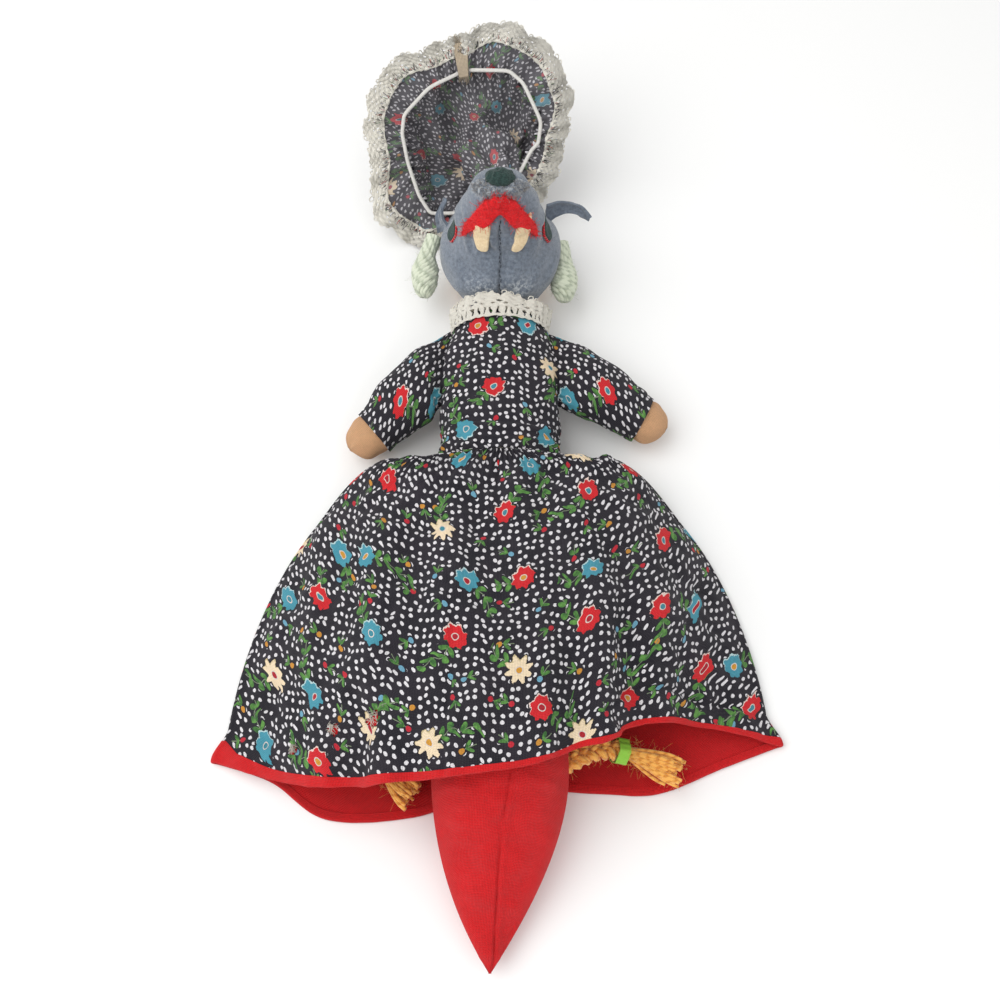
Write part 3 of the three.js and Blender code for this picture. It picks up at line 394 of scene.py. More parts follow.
# %% Brushed grey cotton
def brushed_grey():
    material, add, shader = new_material("brushed_grey_cotton", 0.95, 0.45)
    stain = add("Attribute", out=2, attribute_name="stain")
    place = in_mm(add, "TexCoord", out=3)
    nap = add("TexNoise", place, None, 0.5, 4.0, 0.65)
    base = add("ValToRGB", nap, stops=[(0.3, "#565f6c"), (0.7, "#7a8491")])
    blot = add("TexNoise", place, None, 0.55, 3.0, 0.7)
    blotted = add("*", add("-", blot, 0.45), 5.0, use_clamp=True)
    there = add("*", blotted, stain, use_clamp=True)
    base = add("Mix", there, named={UNDER: base, OVER: colour("#c3c8cc")}, **MIX)
    woven(add, shader, base, threads=0.1, depth=0.4, mottle=0.12)
    return material


GREY = brushed_grey()
print("grey cotton nodes:", len(GREY.node_tree.nodes))

# %% [markdown]
# The floor is a pale sheet that goes on past the view. A broad soft lamp above and to the left
# gives the shapes their shade, and an even white world fills the rest, so a colour renders about as
# it is written.

# %% Floor and light
bpy.ops.mesh.primitive_plane_add(size=6, location=(0, 0, -0.0005))
floor = bpy.context.object
floor.name = "floor"
paper, add, shader = new_material("white_paper", 0.9)
shader.inputs["Base Color"].default_value = colour("#f8f8f7")
floor.data.materials.append(paper)
world = bpy.data.worlds.new("studio")
world.use_nodes = True
bpy.context.scene.world = world
sky = world.node_tree.nodes["Background"]
sky.inputs["Color"].default_value = colour("#ffffff")
# The world lights the doll softly, and rays that come straight or mirrored from the camera see
# plain white.
WORLD_LIGHT = 0.7
straight = node(world.node_tree, "LightPath")
rays = straight.node.outputs
seen = node(world.node_tree, "max", straight, rays["Is Glossy Ray"])
seen = node(world.node_tree, "max", seen, rays["Is Transmission Ray"])
world.node_tree.links.new(
    node(world.node_tree, "*+", seen, 1 - WORLD_LIGHT, WORLD_LIGHT), sky.inputs["Strength"])
for name, place, size, power in [
    ("key", (-0.7, -0.1, 1.05), 1.3, 11.0),
    ("fill", (0.5, -0.8, 0.9), 1.0, 2.0),
]:
    lamp = bpy.data.lights.new(name, "AREA")
    lamp.size, lamp.energy = size, power
    lamp_object = bpy.data.objects.new(name, lamp)
    lamp_object.location = place
    aim = np.array([0, 0, 0.03]) - np.array(place)
    lamp_object.rotation_euler = (
        math.atan2(math.hypot(aim[0], aim[1]), -aim[2]), 0, math.atan2(-aim[0], aim[1]))
    bpy.context.scene.collection.objects.link(lamp_object)
    print(name, "lamp", size, "m wide, power", power)

# %% [markdown]
# Most pieces are grids of points: rings round a stuffed form, or rows across a sheet. A few helpers
# turn a grid into a mesh with its cloth map, give a sheet its thickness, and add soft wrinkles.
# Wrinkles are the sum of a few seeded waves, which looks like fabric and comes out the same on each
# run.


# %% Small helpers
def smooth(t):
    t = np.clip(t, 0, 1)
    return t * t * (3 - 2 * t)


def hump(x, width):
    """One at x = 0, falling softly to nothing on both sides."""
    return np.exp(-((x / width) ** 2))


FROM_BELOW = -math.pi / 2


def full_turn(count, start=0.0):
    """Even turns round a full circle."""
    return np.linspace(start, start + math.tau, count, endpoint=False)


def crossed(across, down):
    return np.meshgrid(across, down, indexing="ij")


def unit(ways):
    return ways / np.linalg.norm(ways, axis=-1, keepdims=True)


def circle(turn, a, b):
    """Points of a circle in the plane of two axes."""
    return np.cos(turn)[..., None] * a + np.sin(turn)[..., None] * b


def sampled(at, places, line):
    """Points of a line at some of its places."""
    return np.stack([np.interp(at, places, line[:, k]) for k in range(3)], 1)


def run_length(line):
    return np.concatenate([[0], np.cumsum(np.linalg.norm(np.diff(line, axis=0), axis=1))])


def total_length(line):
    return np.linalg.norm(np.diff(line, axis=0), axis=1).sum()


def mix(a, b, t):
    return a + (b - a) * t


def round_end(t):
    return np.sqrt(np.maximum(0.004, 1 - t * t))


print("a hump falls to", round(float(hump(1.0, 1.0)), 3), "at its width from the middle")

# %% [markdown]
# Real cloth is never smooth: it keeps small creases from sewing, stuffing and handling. Blender's
# noise textures could displace a mesh, but waves in code can be turned across a seam and faded out
# where the cloth is pulled tight.


# %% Wrinkles
def wrinkles(x, y, length, seed, facing=None, spread=0.5, waves=12):
    """Soft waves of about one millimetre's height; facing is the way across the folds."""
    rng = np.random.default_rng(seed)
    total = 0
    for _ in range(waves):
        way = rng.uniform(0, math.tau) if facing is None else facing + rng.normal(0, spread)
        wave = length * rng.uniform(0.6, 1.5)
        total = total + np.sin(
            math.tau * (x * math.cos(way) + y * math.sin(way)) / wave + rng.uniform(0, math.tau))
    return total / math.sqrt(waves)


def normals(grid):
    """Unit normals of a grid of points, across times along."""
    across, along = np.gradient(grid, axis=0), np.gradient(grid, axis=1)
    normal = np.cross(across, along)
    return normal / np.maximum(1e-9, np.linalg.norm(normal, axis=2, keepdims=True))


def arc(grid, axis):
    """Length along a grid's rows or columns from their start."""
    steps = np.linalg.norm(np.diff(grid, axis=axis), axis=2)
    return np.concatenate([np.zeros_like(np.take(steps, [0], axis)), np.cumsum(steps, axis)], axis)


print("wrinkles of 10 mm are up to",
      round(float(np.abs(wrinkles(np.arange(500.0), 0.0, 10, 1)).max()), 2), "mm high")

# %% [markdown]
# A grid becomes a mesh by joining neighbouring points with four-sided faces. The cloth map goes
# with it, so that a weave and a print know where they are on the flat cloth. Modifiers are applied
# at once, because the piece has to be plain mesh when it is joined to its body.


# %% Meshes from grids
def mesh_object(name, points, faces, uvs, materials, stain=None):
    """uvs has one place in millimetres for each corner of each face."""
    mesh = bpy.data.meshes.new(name)
    mesh.from_pydata((np.asarray(points) * MM + ORIGIN).tolist(), [], faces)
    layer = mesh.uv_layers.new(name="cloth")
    layer.uv.foreach_set("vector", (np.asarray(uvs, float) * MM).astype(np.float32).ravel())
    if stain is not None:
        mesh.attributes.new("stain", "FLOAT", "POINT").data.foreach_set(
            "value", np.asarray(stain, np.float32).ravel())
    mesh.polygons.foreach_set("use_smooth", [True] * len(mesh.polygons))
    for material in materials if isinstance(materials, list) else [materials]:
        mesh.materials.append(material)
    made = bpy.data.objects.new(name, mesh)
    bpy.context.scene.collection.objects.link(made)
    return made


def applied(made, *modifiers):
    """The object with modifiers added, each a kind and its settings, and made into plain mesh."""
    for kind, settings in modifiers:
        modifier = made.modifiers.new(kind.lower(), kind)
        for key, value in settings.items():
            setattr(modifier, key, value)
    graph = bpy.context.evaluated_depsgraph_get()
    mesh = bpy.data.meshes.new_from_object(made.evaluated_get(graph))
    made.modifiers.clear()
    made.data = mesh
    return made


def inward(grid, toward):
    """True where a grid's own normals point away from the side that shows."""
    if toward is None:
        return ((grid - grid.mean(0, keepdims=True)) * normals(grid)).sum() < 0
    return (normals(grid) * np.asarray(toward, float)).sum() < 0


def pushed(grid, lift, around=True, toward=None):
    """The grid moved out by lift in millimetres."""
    normal = normals(np.concatenate([grid[-1:], grid, grid[:1]]))[1:-1] if around else normals(grid)
    return grid + normal * np.asarray(lift)[..., None] * (-1 if inward(grid, toward) else 1)


def grid_faces(grid, uv, around, flipped=False, ends=False, keep=None):
    """Faces and corner places of a grid. If its first axis closes round, uv has one more row."""
    nu, nv = grid.shape[:2]
    rows = nu if around else nu - 1
    i, j = [a.ravel() for a in crossed(np.arange(rows), np.arange(nv - 1))]
    if keep is not None:
        chosen = keep[i, j]
        i, j = i[chosen], j[chosen]
    turn = -1 if flipped else 1
    corners = [(i, j), (i + 1, j), (i + 1, j + 1), (i, j + 1)][::turn]
    faces = np.stack([(a % nu) * nv + b for a, b in corners], 1).tolist()
    places = np.stack([uv[a, b] for a, b in corners], 1).reshape(-1, 2)
    if ends:
        for side, order in ((0, np.arange(nu)[::-turn]), (nv - 1, np.arange(nu)[::turn])):
            faces.append((order * nv + side).tolist())
            places = np.concatenate([places, uv[order, side]])
    return faces, places


print("meshes so far, with those of the CAD model:", len(bpy.data.meshes))

# %% [markdown]
# A doll is made of two things: cloth with an edge, which has a thickness, and stuffed forms, which
# are closed. A sheet keeps its right side where the grid is and grows its thickness inwards, so
# that nothing gets bigger than the CAD solid that it stands for.


# %% Sheets and stuffed pieces
def sheet_piece(name, grid, uv, material, thickness, around=False, keep=None, wrong_side=None,
                stain=None, toward=None):
    """Cloth with its right side on the grid and its thickness behind it."""
    faces, places = grid_faces(grid, uv, around, inward(grid, toward), keep=keep)
    made = mesh_object(
        name, grid.reshape(-1, 3), faces, places, [material, wrong_side or material], stain)
    if keep is not None:
        drop_loose(made)
    solid = (
        "SOLIDIFY",
        {"thickness": thickness * MM, "offset": -1, "material_offset": 1, "material_offset_rim": 1})
    return applied(made, solid)


def drop_loose(made):
    """Takes out the points that no face uses, as in a hole."""
    work = bmesh.new()
    work.from_mesh(made.data)
    bmesh.ops.delete(work, geom=[v for v in work.verts if not v.link_faces], context="VERTS")
    work.to_mesh(made.data)
    work.free()


def stuffed_piece(name, grid, uv, material, stain=None):
    """A closed form through rings, the first axis going round."""
    faces, places = grid_faces(grid, uv, True, inward(grid, None), ends=True)
    return mesh_object(name, grid.reshape(-1, 3), faces, places, material, stain)


def wrapped(grid):
    """Cloth places in millimetres of a closed grid, counted from the column opposite its seam."""
    closed = np.concatenate([grid, grid[:1]], 0)
    girth = arc(closed, 0)
    return np.stack([girth - girth[len(grid) // 2], arc(closed, 1)], 2)


print("one millimetre is", MM, "m, and a sheet's thickness lies behind its grid")

# %% [markdown]
# Yarn, cord, thread and lace loops are tubes along a path. The path is a Catmull-Rom curve through
# a few points, sampled at even steps, and each tube keeps its own length and turn as its cloth map,
# for the twist of its plies.


# %% Paths
def path(points, count, closed=False):
    """Even samples on a smooth curve through points."""
    p = np.asarray(points, float)
    p = np.concatenate([p[-1:], p, p[:2]]) if closed else np.concatenate(
        [[2 * p[0] - p[1]], p, [2 * p[-1] - p[-2]]])
    pieces = []
    for a, b, c, d in zip(p, p[1:], p[2:], p[3:]):
        d0, d1, d2 = [max(1e-4, np.linalg.norm(q - r) ** 0.5) for q, r in ((b, a), (c, b), (d, c))]
        t1 = ((b - a) / d0 - (c - a) / (d0 + d1) + (c - b) / d1) * d1
        t2 = ((c - b) / d1 - (d - b) / (d1 + d2) + (d - c) / d2) * d1
        t = np.linspace(0, 1, 24, endpoint=False)[:, None]
        pieces.append(
            b + t1 * t + (-3 * b + 3 * c - 2 * t1 - t2) * t**2 + (2 * b - 2 * c + t1 + t2) * t**3)
    fine = np.concatenate([*pieces, p[-2:-1]])
    length = run_length(fine)
    return sampled(np.linspace(0, length[-1], count), length, fine)


def along(points):
    way = np.gradient(points, axis=0)
    return way / np.maximum(1e-9, np.linalg.norm(way, axis=1, keepdims=True))


def axes(points, up=(0, 0, 1)):
    """Two axes square to a path, kept from turning round it."""
    ways = along(points)
    side = np.cross(up, ways[0])
    if np.linalg.norm(side) < 0.1:
        side = np.cross((1, 0, 0), ways[0])
    sides = []
    for way in ways:
        side = side - way * side.dot(way)
        side = side / np.linalg.norm(side)
        sides.append(side)
    sides = np.array(sides)
    return sides, np.cross(ways, sides)


corner = path([(0, 0, 0), (10, 0, 0), (10, 10, 0)], 50)
print("a curve round a 10 mm corner is", round(float(total_length(corner)), 1), "mm long")

# %% [markdown]
# Blender can bevel a curve into a tube, but yarn needs a map along each strand for the twist of its
# plies, so tubes are meshed here. Fibres are the thinnest tubes. They start on a surface and curl
# at random, and they are what makes wool and felt look soft along an outline.


# %% Tubes and fibres
def tubes(name, paths, radii, material, sides=7, closed=False):
    """One mesh of many tubes. radii has a number or an array for each path."""
    all_points, all_faces, all_places, start = [], [], [], 0
    turn = full_turn(sides)
    for points, radius in zip(paths, radii):
        n = len(points)
        a, b = axes(points)
        r = np.broadcast_to(radius, n)[None, :, None]
        grid = points[None] + r * (
            np.cos(turn)[:, None, None] * a[None] + np.sin(turn)[:, None, None] * b[None])
        length = run_length(points)
        u, v = crossed(np.linspace(0, 1, sides + 1), length + 7.3 * len(all_points))
        faces, places = grid_faces(grid, np.stack([v, u], 2), True, True, ends=not closed)
        if closed:
            for k in range(sides):
                first, second = k * n, (k + 1) % sides * n
                faces.append([first + n - 1, second + n - 1, second, first])
                ends = [(v[0, -1], (k + step) / sides) for step in (0, 1, 1, 0)]
                places = np.concatenate([places, ends])
        all_faces += [[corner + start for corner in face] for face in faces]
        all_points.append(grid.reshape(-1, 3))
        all_places.append(places)
        start += grid.shape[0] * n
    return mesh_object(
        name, np.concatenate(all_points), all_faces, np.concatenate(all_places), material)


def fuzz(roots, ways, length, seed, curl=0.5, count=5):
    """Short fibres: paths that leave each root along its way and curl at random."""
    rng = np.random.default_rng(seed)
    made = []
    for root, way in zip(roots, ways):
        lean = way + rng.normal(0, curl, 3)
        reach = length * rng.uniform(0.5, 1.3)
        bend = rng.normal(0, curl * reach * 0.5, 3)
        t = np.linspace(0, 1, count)[:, None]
        made.append(root + lean * reach * t + bend * t * t)
    return made


print("a short fibre has", len(fuzz([np.zeros(3)], [np.ones(3)], 1.0, 1)[0]), "points")

# %% [markdown]
# Each piece ends in the same way: it rides on a body, or stays fixed where it was made when it is
# given a second one, and it takes the place of its CAD solids. One function does all of this and
# prints the piece's size.

# %% Finishing a piece
# A slope from the skirt's waist seam down to the back hem.
SKIRT_BEND = np.array([[0, 0, 46], [0, -9.9, 84.8]])
COLLAR_BEND = np.array([[0, 84, 24], [0, 95, 24]])


def finished(made, body, slot, *nodes, other=None, bend=SKIRT_BEND):
    """Puts the piece on its body, or leaves it fixed where it is if other is given, and hides its
    solids.
    """
    if other:
        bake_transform(made)
    else:
        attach(made, body)
    if nodes:
        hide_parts(*nodes)
    corners = np.array([v.co for v in made.data.vertices]) / MM
    wide, long, high = np.ptp(corners, axis=0)
    print(f"{made.name}: {wide:.0f} x {long:.0f} x {high:.0f} mm, {len(corners)} points, on {body}")
    return made


def loose_fibres(name, hairs, radius, material, body, slot, sides=3, **joined):
    """One piece of many thin fibres."""
    return finished(
        tubes(name, hairs, [radius] * len(hairs), material, sides), body, slot, **joined)


print("the skirt bends between", SKIRT_BEND[0], "and", SKIRT_BEND[1], "mm from the waist")

# %% [markdown]
# Both dolls share one stuffed sack, narrow at the necks and full at the waist. Its width and depth
# along the doll give the sack, both bodices and the lace round the neck.

# %% Body and bodices
AXIS_Z = 23.5
CHEST_WIDE = 30.8
NECK_Y, NECK_WIDE, NECK_DEEP = 84, 24, 17


def body_half(y):
    """Half the body's width and depth at a distance from the waist."""
    d = np.abs(y)
    chest = mix(29.5, CHEST_WIDE, smooth(d / 50))
    turn = np.clip((d - 50) / (NECK_Y - 50), 0, 1) * math.pi / 2
    shrink = np.sqrt(np.maximum(0.0004, 1 - (np.maximum(0, d - NECK_Y) / NECK_DEEP) ** 2))
    wide = mix(chest, NECK_WIDE, 1 - np.cos(turn))
    deep = mix(20, NECK_DEEP, np.sin(turn) ** 2)
    return wide * shrink, deep * shrink


def body_grid(ys, offset, sides):
    a = full_turn(sides, FROM_BELOW)
    A, Y = crossed(a, ys)
    wide, deep = body_half(Y)
    grid = np.stack([(wide + offset) * np.cos(A), Y, AXIS_Z + (deep + offset) * np.sin(A)], 2)
    return grid, A, Y


neck_end = NECK_Y + NECK_DEEP * np.sin(np.radians([25, 50, 70, 88]))
core, _, _ = body_grid(
    np.concatenate([-neck_end[::-1], np.linspace(-NECK_Y, NECK_Y, 60), neck_end]), 0, 48)
body_core = stuffed_piece("body_core_muslin", core, wrapped(core), MUSLIN)
finished(body_core, "torso", "stuffing", "body_core")


BODICE_START, BODICE_END = 1.5, 87


def bodice(name, end, material, slot, solid, seed):
    """A tube of cloth over half of the sack, gathered at the waist and creased under the arms."""
    grid, A, Y = body_grid(end * np.linspace(BODICE_START, BODICE_END, 110), 1.0, 220)
    from_waist = np.abs(Y) - BODICE_START
    gathers = 0.8 * np.exp(-from_waist / 8) * np.sin(44 * A + 2 * np.sin(3 * A + seed))
    creases = 0.6 * wrinkles(28 * A, Y, 24, seed, facing=1.2, spread=0.7)
    under_arm = smooth((np.abs(grid[..., 0]) - 19) / 9) * smooth((np.abs(Y) - 20) / 20)
    creases = creases + 0.5 * under_arm * wrinkles(
        grid[..., 2], Y, 7, seed + 1, facing=1.5, spread=0.3)
    bunched = 1.1 * hump(np.abs(Y) - 13, 9) * wrinkles(
        28 * A, Y, 8, seed + 5, facing=1.5, spread=0.25)
    lift = gathers + (creases + bunched) * smooth((BODICE_END - np.abs(Y)) / 6)
    if end > 0:  # the neck slit, closed with white thread, a little right of the middle
        slit = hump(grid[..., 0] - 9.5 - 0.4 * np.sin(Y / 5), 0.7) * smooth((Y - 52) / 6)
        lift = lift - 1.0 * slit * (grid[..., 2] > AXIS_Z)
    grid = pushed(grid, np.clip(lift, -0.6, 1.7))
    made = sheet_piece(name, grid, wrapped(grid), material, 0.5, around=True)
    finished(made, "torso", slot, solid)
    return made


bodice("wolf_bodice_cloth", 1, CALICO, "calico", "wolf_bodice", 3)
bodice("girl_bodice_cloth", -1, RED, "red_cotton", "girl_bodice", 8)
band, _, _ = body_grid(np.linspace(-1.3, 1.3, 7), 0, 160)
band = pushed(band, np.broadcast_to(1.0 + 0.4 * np.cos(np.linspace(-1.5, 1.5, 7)), band.shape[:2]))
band = sheet_piece("waist_band_tape", band, wrapped(band), CALICO, 0.5, around=True)
finished(band, "torso", "calico", "waist_band")

# %% [markdown]
# The skirt is the heart of such a doll: one tube of two cloths, calico on one side and red on the
# other, bound at the hem. It is sewn into the waist, so it can be turned over either doll. Here it
# lies flat on the table at the back, runs round a soft fold at each side, and its front rises like
# a bell over the hidden girl. The tube is a grid of columns that starts and ends at the middle of
# the back.

# %% Skirt shape
HEM_FRONT = [
    (-1, -147), (-0.57, -165), (0, -163.5), (0.3, -150), (0.52, -136), (0.78, -134), (1, -139)]
HEM_BACK = [(-1, -147), (-0.8, -156), (-0.6, -173.5), (-0.3, -172.5), (0, -160), (0.35, -161.5),
            (0.56, -161.5), (0.8, -149), (1, -139)]
SKIRT_LENGTH = 165
SEAM_HALF, SPREAD_HALF = 33.3, 98  # half the width at the waist, and what the hem adds to it
SKIRT_LOW_EDGE = 4.3
SKIRT_LAYERS = 1.1  # from the calico's right side to the lining's


def hem_y(pairs, c):
    p = np.array([pairs[0], *pairs, pairs[-1]], float)
    t = np.linspace(0, 1, 40)[:, None]
    curve = np.concatenate([
        b + (d - a) / 2 * t + (a - 2.5 * b + 2 * d - e / 2) * t**2
        + (1.5 * (b - d) + (e - a) / 2) * t**3 for a, b, d, e in zip(p, p[1:], p[2:], p[3:])
    ])
    return np.interp(c, curve[:, 0], curve[:, 1])


def skirt_flat(c, s, hem):
    """Across and along the doll, at c across the skirt and s down it."""
    spread = (1 - (1 - np.clip(s, 0, 1)) ** 1.75) ** 0.46
    sewn = 2 * hump(s * SKIRT_LENGTH, 2)  # the first rows close in on the waist seam
    wide = SEAM_HALF - sewn + SPREAD_HALF * spread + 6 * smooth((s - 0.9) / 0.1)
    x = c * wide * np.where(c > 0, 0.985, 1)
    return x, mix(0.6 + 11.4 * np.abs(c) ** 3 * smooth(s / 0.05), hem_y(hem, c), s)


def edge_height(s):
    return mix(21.5, SKIRT_LOW_EDGE, smooth(s / 0.24))


def skirt_front(c, s):
    s = np.maximum(0.0005, s)
    r = np.minimum(0.9999, np.abs(c))
    x, y = skirt_flat(c, s, HEM_FRONT)
    top = mix(47, 62, np.sin(math.pi / 2 * np.minimum(1, s / 0.75)) ** 2) - 1.6 * hump(
        s * SKIRT_LENGTH, 2)
    shoulder = mix(mix(2, 1.8, s), 2.6, np.sin(math.pi * s))
    shape = (1 - r**shoulder) ** mix(0.5, 1.7, s**1.15)
    spread = np.sin(math.pi * np.minimum(1, r * 1.02)) * (1 - smooth((r - 0.8) / 0.2))
    folds = 1.6 * smooth(s / 0.3) * spread * np.sin(21 * c + 2 * s)
    return np.stack([x, y, mix(edge_height(s), top, shape) + folds], -1)


def skirt_back(c, s):
    x, y = skirt_flat(c, s, HEM_BACK)
    edge = edge_height(s)
    dip = np.where(edge > SKIRT_LOW_EDGE + 3.4, 3.4 * (1 - smooth(s / 0.14)), 0)
    side = edge - SKIRT_LOW_EDGE - dip
    laid = side * np.abs(c) ** 7
    # Its first rows rise from the table to the seam under the sack.
    sewn = np.minimum(side, AXIS_Z - 22.6 * np.sqrt(1 - np.minimum(1, np.abs(x) / 32) ** 2))
    return np.stack([x, y, mix(laid, np.maximum(laid, sewn), 1 - smooth(s / 0.1))], -1)


def side_fold(c, s, turns):
    """The rounded side between the front's edge and the back's."""
    front, back = skirt_front(c, s), skirt_back(c, s)
    middle, half = (front + back) / 2, (front - back) / 2
    reach = np.linalg.norm(half, axis=-1, keepdims=True) * [np.sign(c[0, 0]), 0, 0]
    return middle + half * np.cos(turns)[..., None] + reach * np.sin(turns)[..., None]


print("half the hem's width is", round(float(skirt_flat(1.0, 1.0, HEM_FRONT)[0])), "mm")

# %% [markdown]
# The plain shape then gets what makes it cloth: gathers that fan out of the waist seam, long soft
# folds, a tuck above the hem and small creases. A cloth simulation could fall into folds by itself,
# but not into those of the photograph, so they are added up from waves and humps.

# %% Skirt folds
FRONT_COLUMNS, BACK_COLUMNS, FOLD_COLUMNS, SKIRT_ROWS = ((
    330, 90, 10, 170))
rows = np.linspace(0, 1, SKIRT_ROWS)
CROWDING = 0.86  # columns stand closer together towards the sides
ease = np.sin(np.linspace(-1, 1, FRONT_COLUMNS) * math.pi / 2 * CROWDING) / math.sin(
    math.pi / 2 * CROWDING)
C, S = crossed(ease, rows)
front_part = skirt_front(C, S)
half_ease = np.linspace(0, 1, BACK_COLUMNS) ** 0.8
CB, SB = crossed(half_ease, rows)
TURNS, SF = crossed(np.linspace(0, math.pi, FOLD_COLUMNS + 2)[1:-1], rows)
ones = np.ones_like(SF)
# How the cloth stands off its plain shape: gathers at the waist, long soft folds and small creases
x, y = front_part[..., 0], front_part[..., 1]
down = S * SKIRT_LENGTH
gathers = np.exp(-((down / 13) ** 1.2)) * 0.95 * np.sin(140 * C + 3 * np.sin(9 * C) + 0.05 * down)
folds = 2.2 * smooth(down / 25) * wrinkles(x, y * 0.35, 34, 21, facing=0.0, spread=0.25)
crumple = 0.7 * wrinkles(x, y, 12, 22) * smooth(down / 8)
soft = 1.5 * smooth(down / 20) * wrinkles(x, y, 48, 23)
crease = -2.2 * hump(x + 2 - 0.06 * down, 2.4) * hump(down, 40) * smooth(down / 6)
above_hem = y - hem_y(HEM_FRONT, C)
tuck = -1.6 * hump(above_hem - 13 - 1.5 * np.sin(x / 9), 1.2)
tuck = tuck * smooth((C - 0.14) / 0.1) * smooth((0.93 - C) / 0.1)
pressed = -1.1 * hump(x + 23 - 1.5 * np.sin(down / 14), 1.3) * smooth((down - 60) / 25)
fade = smooth((1 - np.abs(C)) / 0.12)
hang = folds + crumple + soft + crease + tuck + pressed
# Over the girl's head the folds stand up only, which leaves her head room to nod.
over_head = np.exp(-((x / 32) ** 4)) * smooth((-85 - y) / 20)
hang = mix(hang, np.maximum(hang, -0.3) + 0.9, over_head)


def skirt_tube(lift):
    """The whole skirt as one tube of columns, with the front cloth lifted off its plain shape."""
    front = pushed(front_part, lift * fade, around=False, toward=(0, 0, 1))
    return np.concatenate([
        skirt_back(-CB, SB)[:-1], side_fold(-ones, SF, math.pi - TURNS), front,
        side_fold(ones, SF, TURNS), skirt_back(CB[::-1], SB)[1:-1],
    ])


tube = skirt_tube(gathers + hang)
print("skirt tube:", tube.shape, "hem girth",
      round(float(arc(np.concatenate([tube, tube[:1]]), 0)[-1, -1])), "mm")

# %% [markdown]
# The cloth map is counted from the middle of the front, so the print meets in one seam at the back,
# as on the real skirt. Moths have eaten three small holes in the calico near the hem, with broken
# threads round them.

# %% Skirt cloths
cloth = wrapped(tube)
on_front = np.zeros(tube.shape[:2], bool)
first = BACK_COLUMNS - 1 + FOLD_COLUMNS
on_front[first : first + FRONT_COLUMNS] = True
whole = np.ones(tube.shape[:2], bool)
MOTH_HOLES = [(-77, -140, 2.5), (-58, -138, 3.0), (-97, -146, 1.9)]  # middle and reach
for hole_x, hole_y, reach in MOTH_HOLES:
    turn = np.arctan2(tube[..., 1] - hole_y, tube[..., 0] - hole_x)
    ragged = reach * (1 + 0.25 * np.sin(3 * turn + hole_x) + 0.15 * np.sin(7 * turn))
    whole &= ~((np.hypot(tube[..., 0] - hole_x, tube[..., 1] - hole_y) < ragged) & on_front)
calico_skirt = sheet_piece("skirt_calico_cloth", tube[:, :-1], cloth[:, :-1], CALICO, 0.45,
                           around=True, keep=whole, wrong_side=CALICO_BACK)
finished(
    calico_skirt, "torso", "calico", "skirt_calico_front", "skirt_calico_back", other="skirt_front")
# The lining is gathered apart from the calico, so it runs smoothly under the calico's gathers.
depth = mix(2.0, SKIRT_LAYERS, smooth((down[:1] - 4) / 30))
inner = pushed(skirt_tube(hang), np.broadcast_to(-depth, tube.shape[:2]))
LINING_TOP = 1  # rows: the lining's raw edge lies inside the waist seam
lining = sheet_piece(
    "skirt_lining_cloth", inner[:, LINING_TOP:], cloth[:, LINING_TOP:], RED, 0.4, around=True)
finished(
    lining, "torso", "red_cotton", "skirt_lining_front", "skirt_lining_back", other="skirt_front")

# %% [markdown]
# Broken threads stand up round the moth holes. They are thin tubes with a fixed seed.

# %% Broken threads
rng = np.random.default_rng(24)
front_points = tube[on_front]
roots, ways = [], []
for hole_x, hole_y, reach in MOTH_HOLES:
    for turn in rng.uniform(0, math.tau, 26):
        at = np.array(
            [hole_x + reach * 1.1 * math.cos(turn), hole_y + reach * 1.1 * math.sin(turn)])
        nearest = front_points[
            np.argmin(np.hypot(front_points[:, 0] - at[0], front_points[:, 1] - at[1]))]
        roots.append(nearest)
        ways.append([-math.cos(turn), -math.sin(turn), 0.9])
paths = fuzz(np.array(roots), np.array(ways), 2.8, 25, 0.32)
loose_fibres(
    "skirt_broken_threads", paths, 0.13, THREAD, "torso", "calico", sides=4, other="skirt_front")

# %% [markdown]
# The hem is bound with a folded strip of red cotton. On the front it has rolled under, so that only
# a thin red line shows, except at the left corner, where it has turned out. It puckers along its
# stitches.

# %% Hem binding
HEM_SHOWS = [
    (-1, 10), (-0.93, 6), (-0.8, 4.4), (-0.5, 3.6), (-0.2, 2.4), (0.1, 1.8), (0.9, 1.8), (1, 3.5)]
columns_c = np.concatenate(
    [-half_ease[:-1], -np.ones(FOLD_COLUMNS), ease, np.ones(FOLD_COLUMNS), half_ease[::-1][1:-1]])
shows = np.where(on_front[:, 0] | (np.abs(columns_c) == 1),
                 np.interp(columns_c, *np.array(HEM_SHOWS, float).T), 3.0)
BAND_ROWS = 14
COLUMN_LENGTH = 168  # of the skirt with its rounded sides
share = 1 - np.linspace(1, 0, BAND_ROWS)[None] * shows[:, None] / COLUMN_LENGTH
at = share * (SKIRT_ROWS - 1)
low_row = np.clip(at.astype(int), 0, SKIRT_ROWS - 2)
part = (at - low_row)[..., None]
column = np.arange(len(tube))[:, None]
hem_rows = mix(tube[column, low_row], tube[column, low_row + 1], part)
hem_inner = mix(inner[column, low_row], inner[column, low_row + 1], part)
pucker = 0.22 * np.sin(cloth[:-1, -1:, 0] / 1.7) * np.linspace(1, 0.2, BAND_ROWS)[None]
outside = pushed(hem_rows, 0.32 + pucker)
inside = pushed(hem_inner, np.full(hem_inner.shape[:2], -0.8))
down_hem = unit(hem_rows[:, -1] - hem_rows[:, -3])
middle, half = (outside[:, -1] + inside[:, -1]) / 2, (outside[:, -1] - inside[:, -1]) / 2
bulge = down_hem * np.linalg.norm(half, axis=1, keepdims=True)
rolled = [
    middle + half * math.cos(t) + bulge * math.sin(t) for t in np.linspace(0, math.pi, 9)[1:-1]]
band = np.concatenate([outside, np.stack(rolled, 1), inside[:, ::-1]], 1)
band[..., 2] = np.maximum(band[..., 2], 0.0)
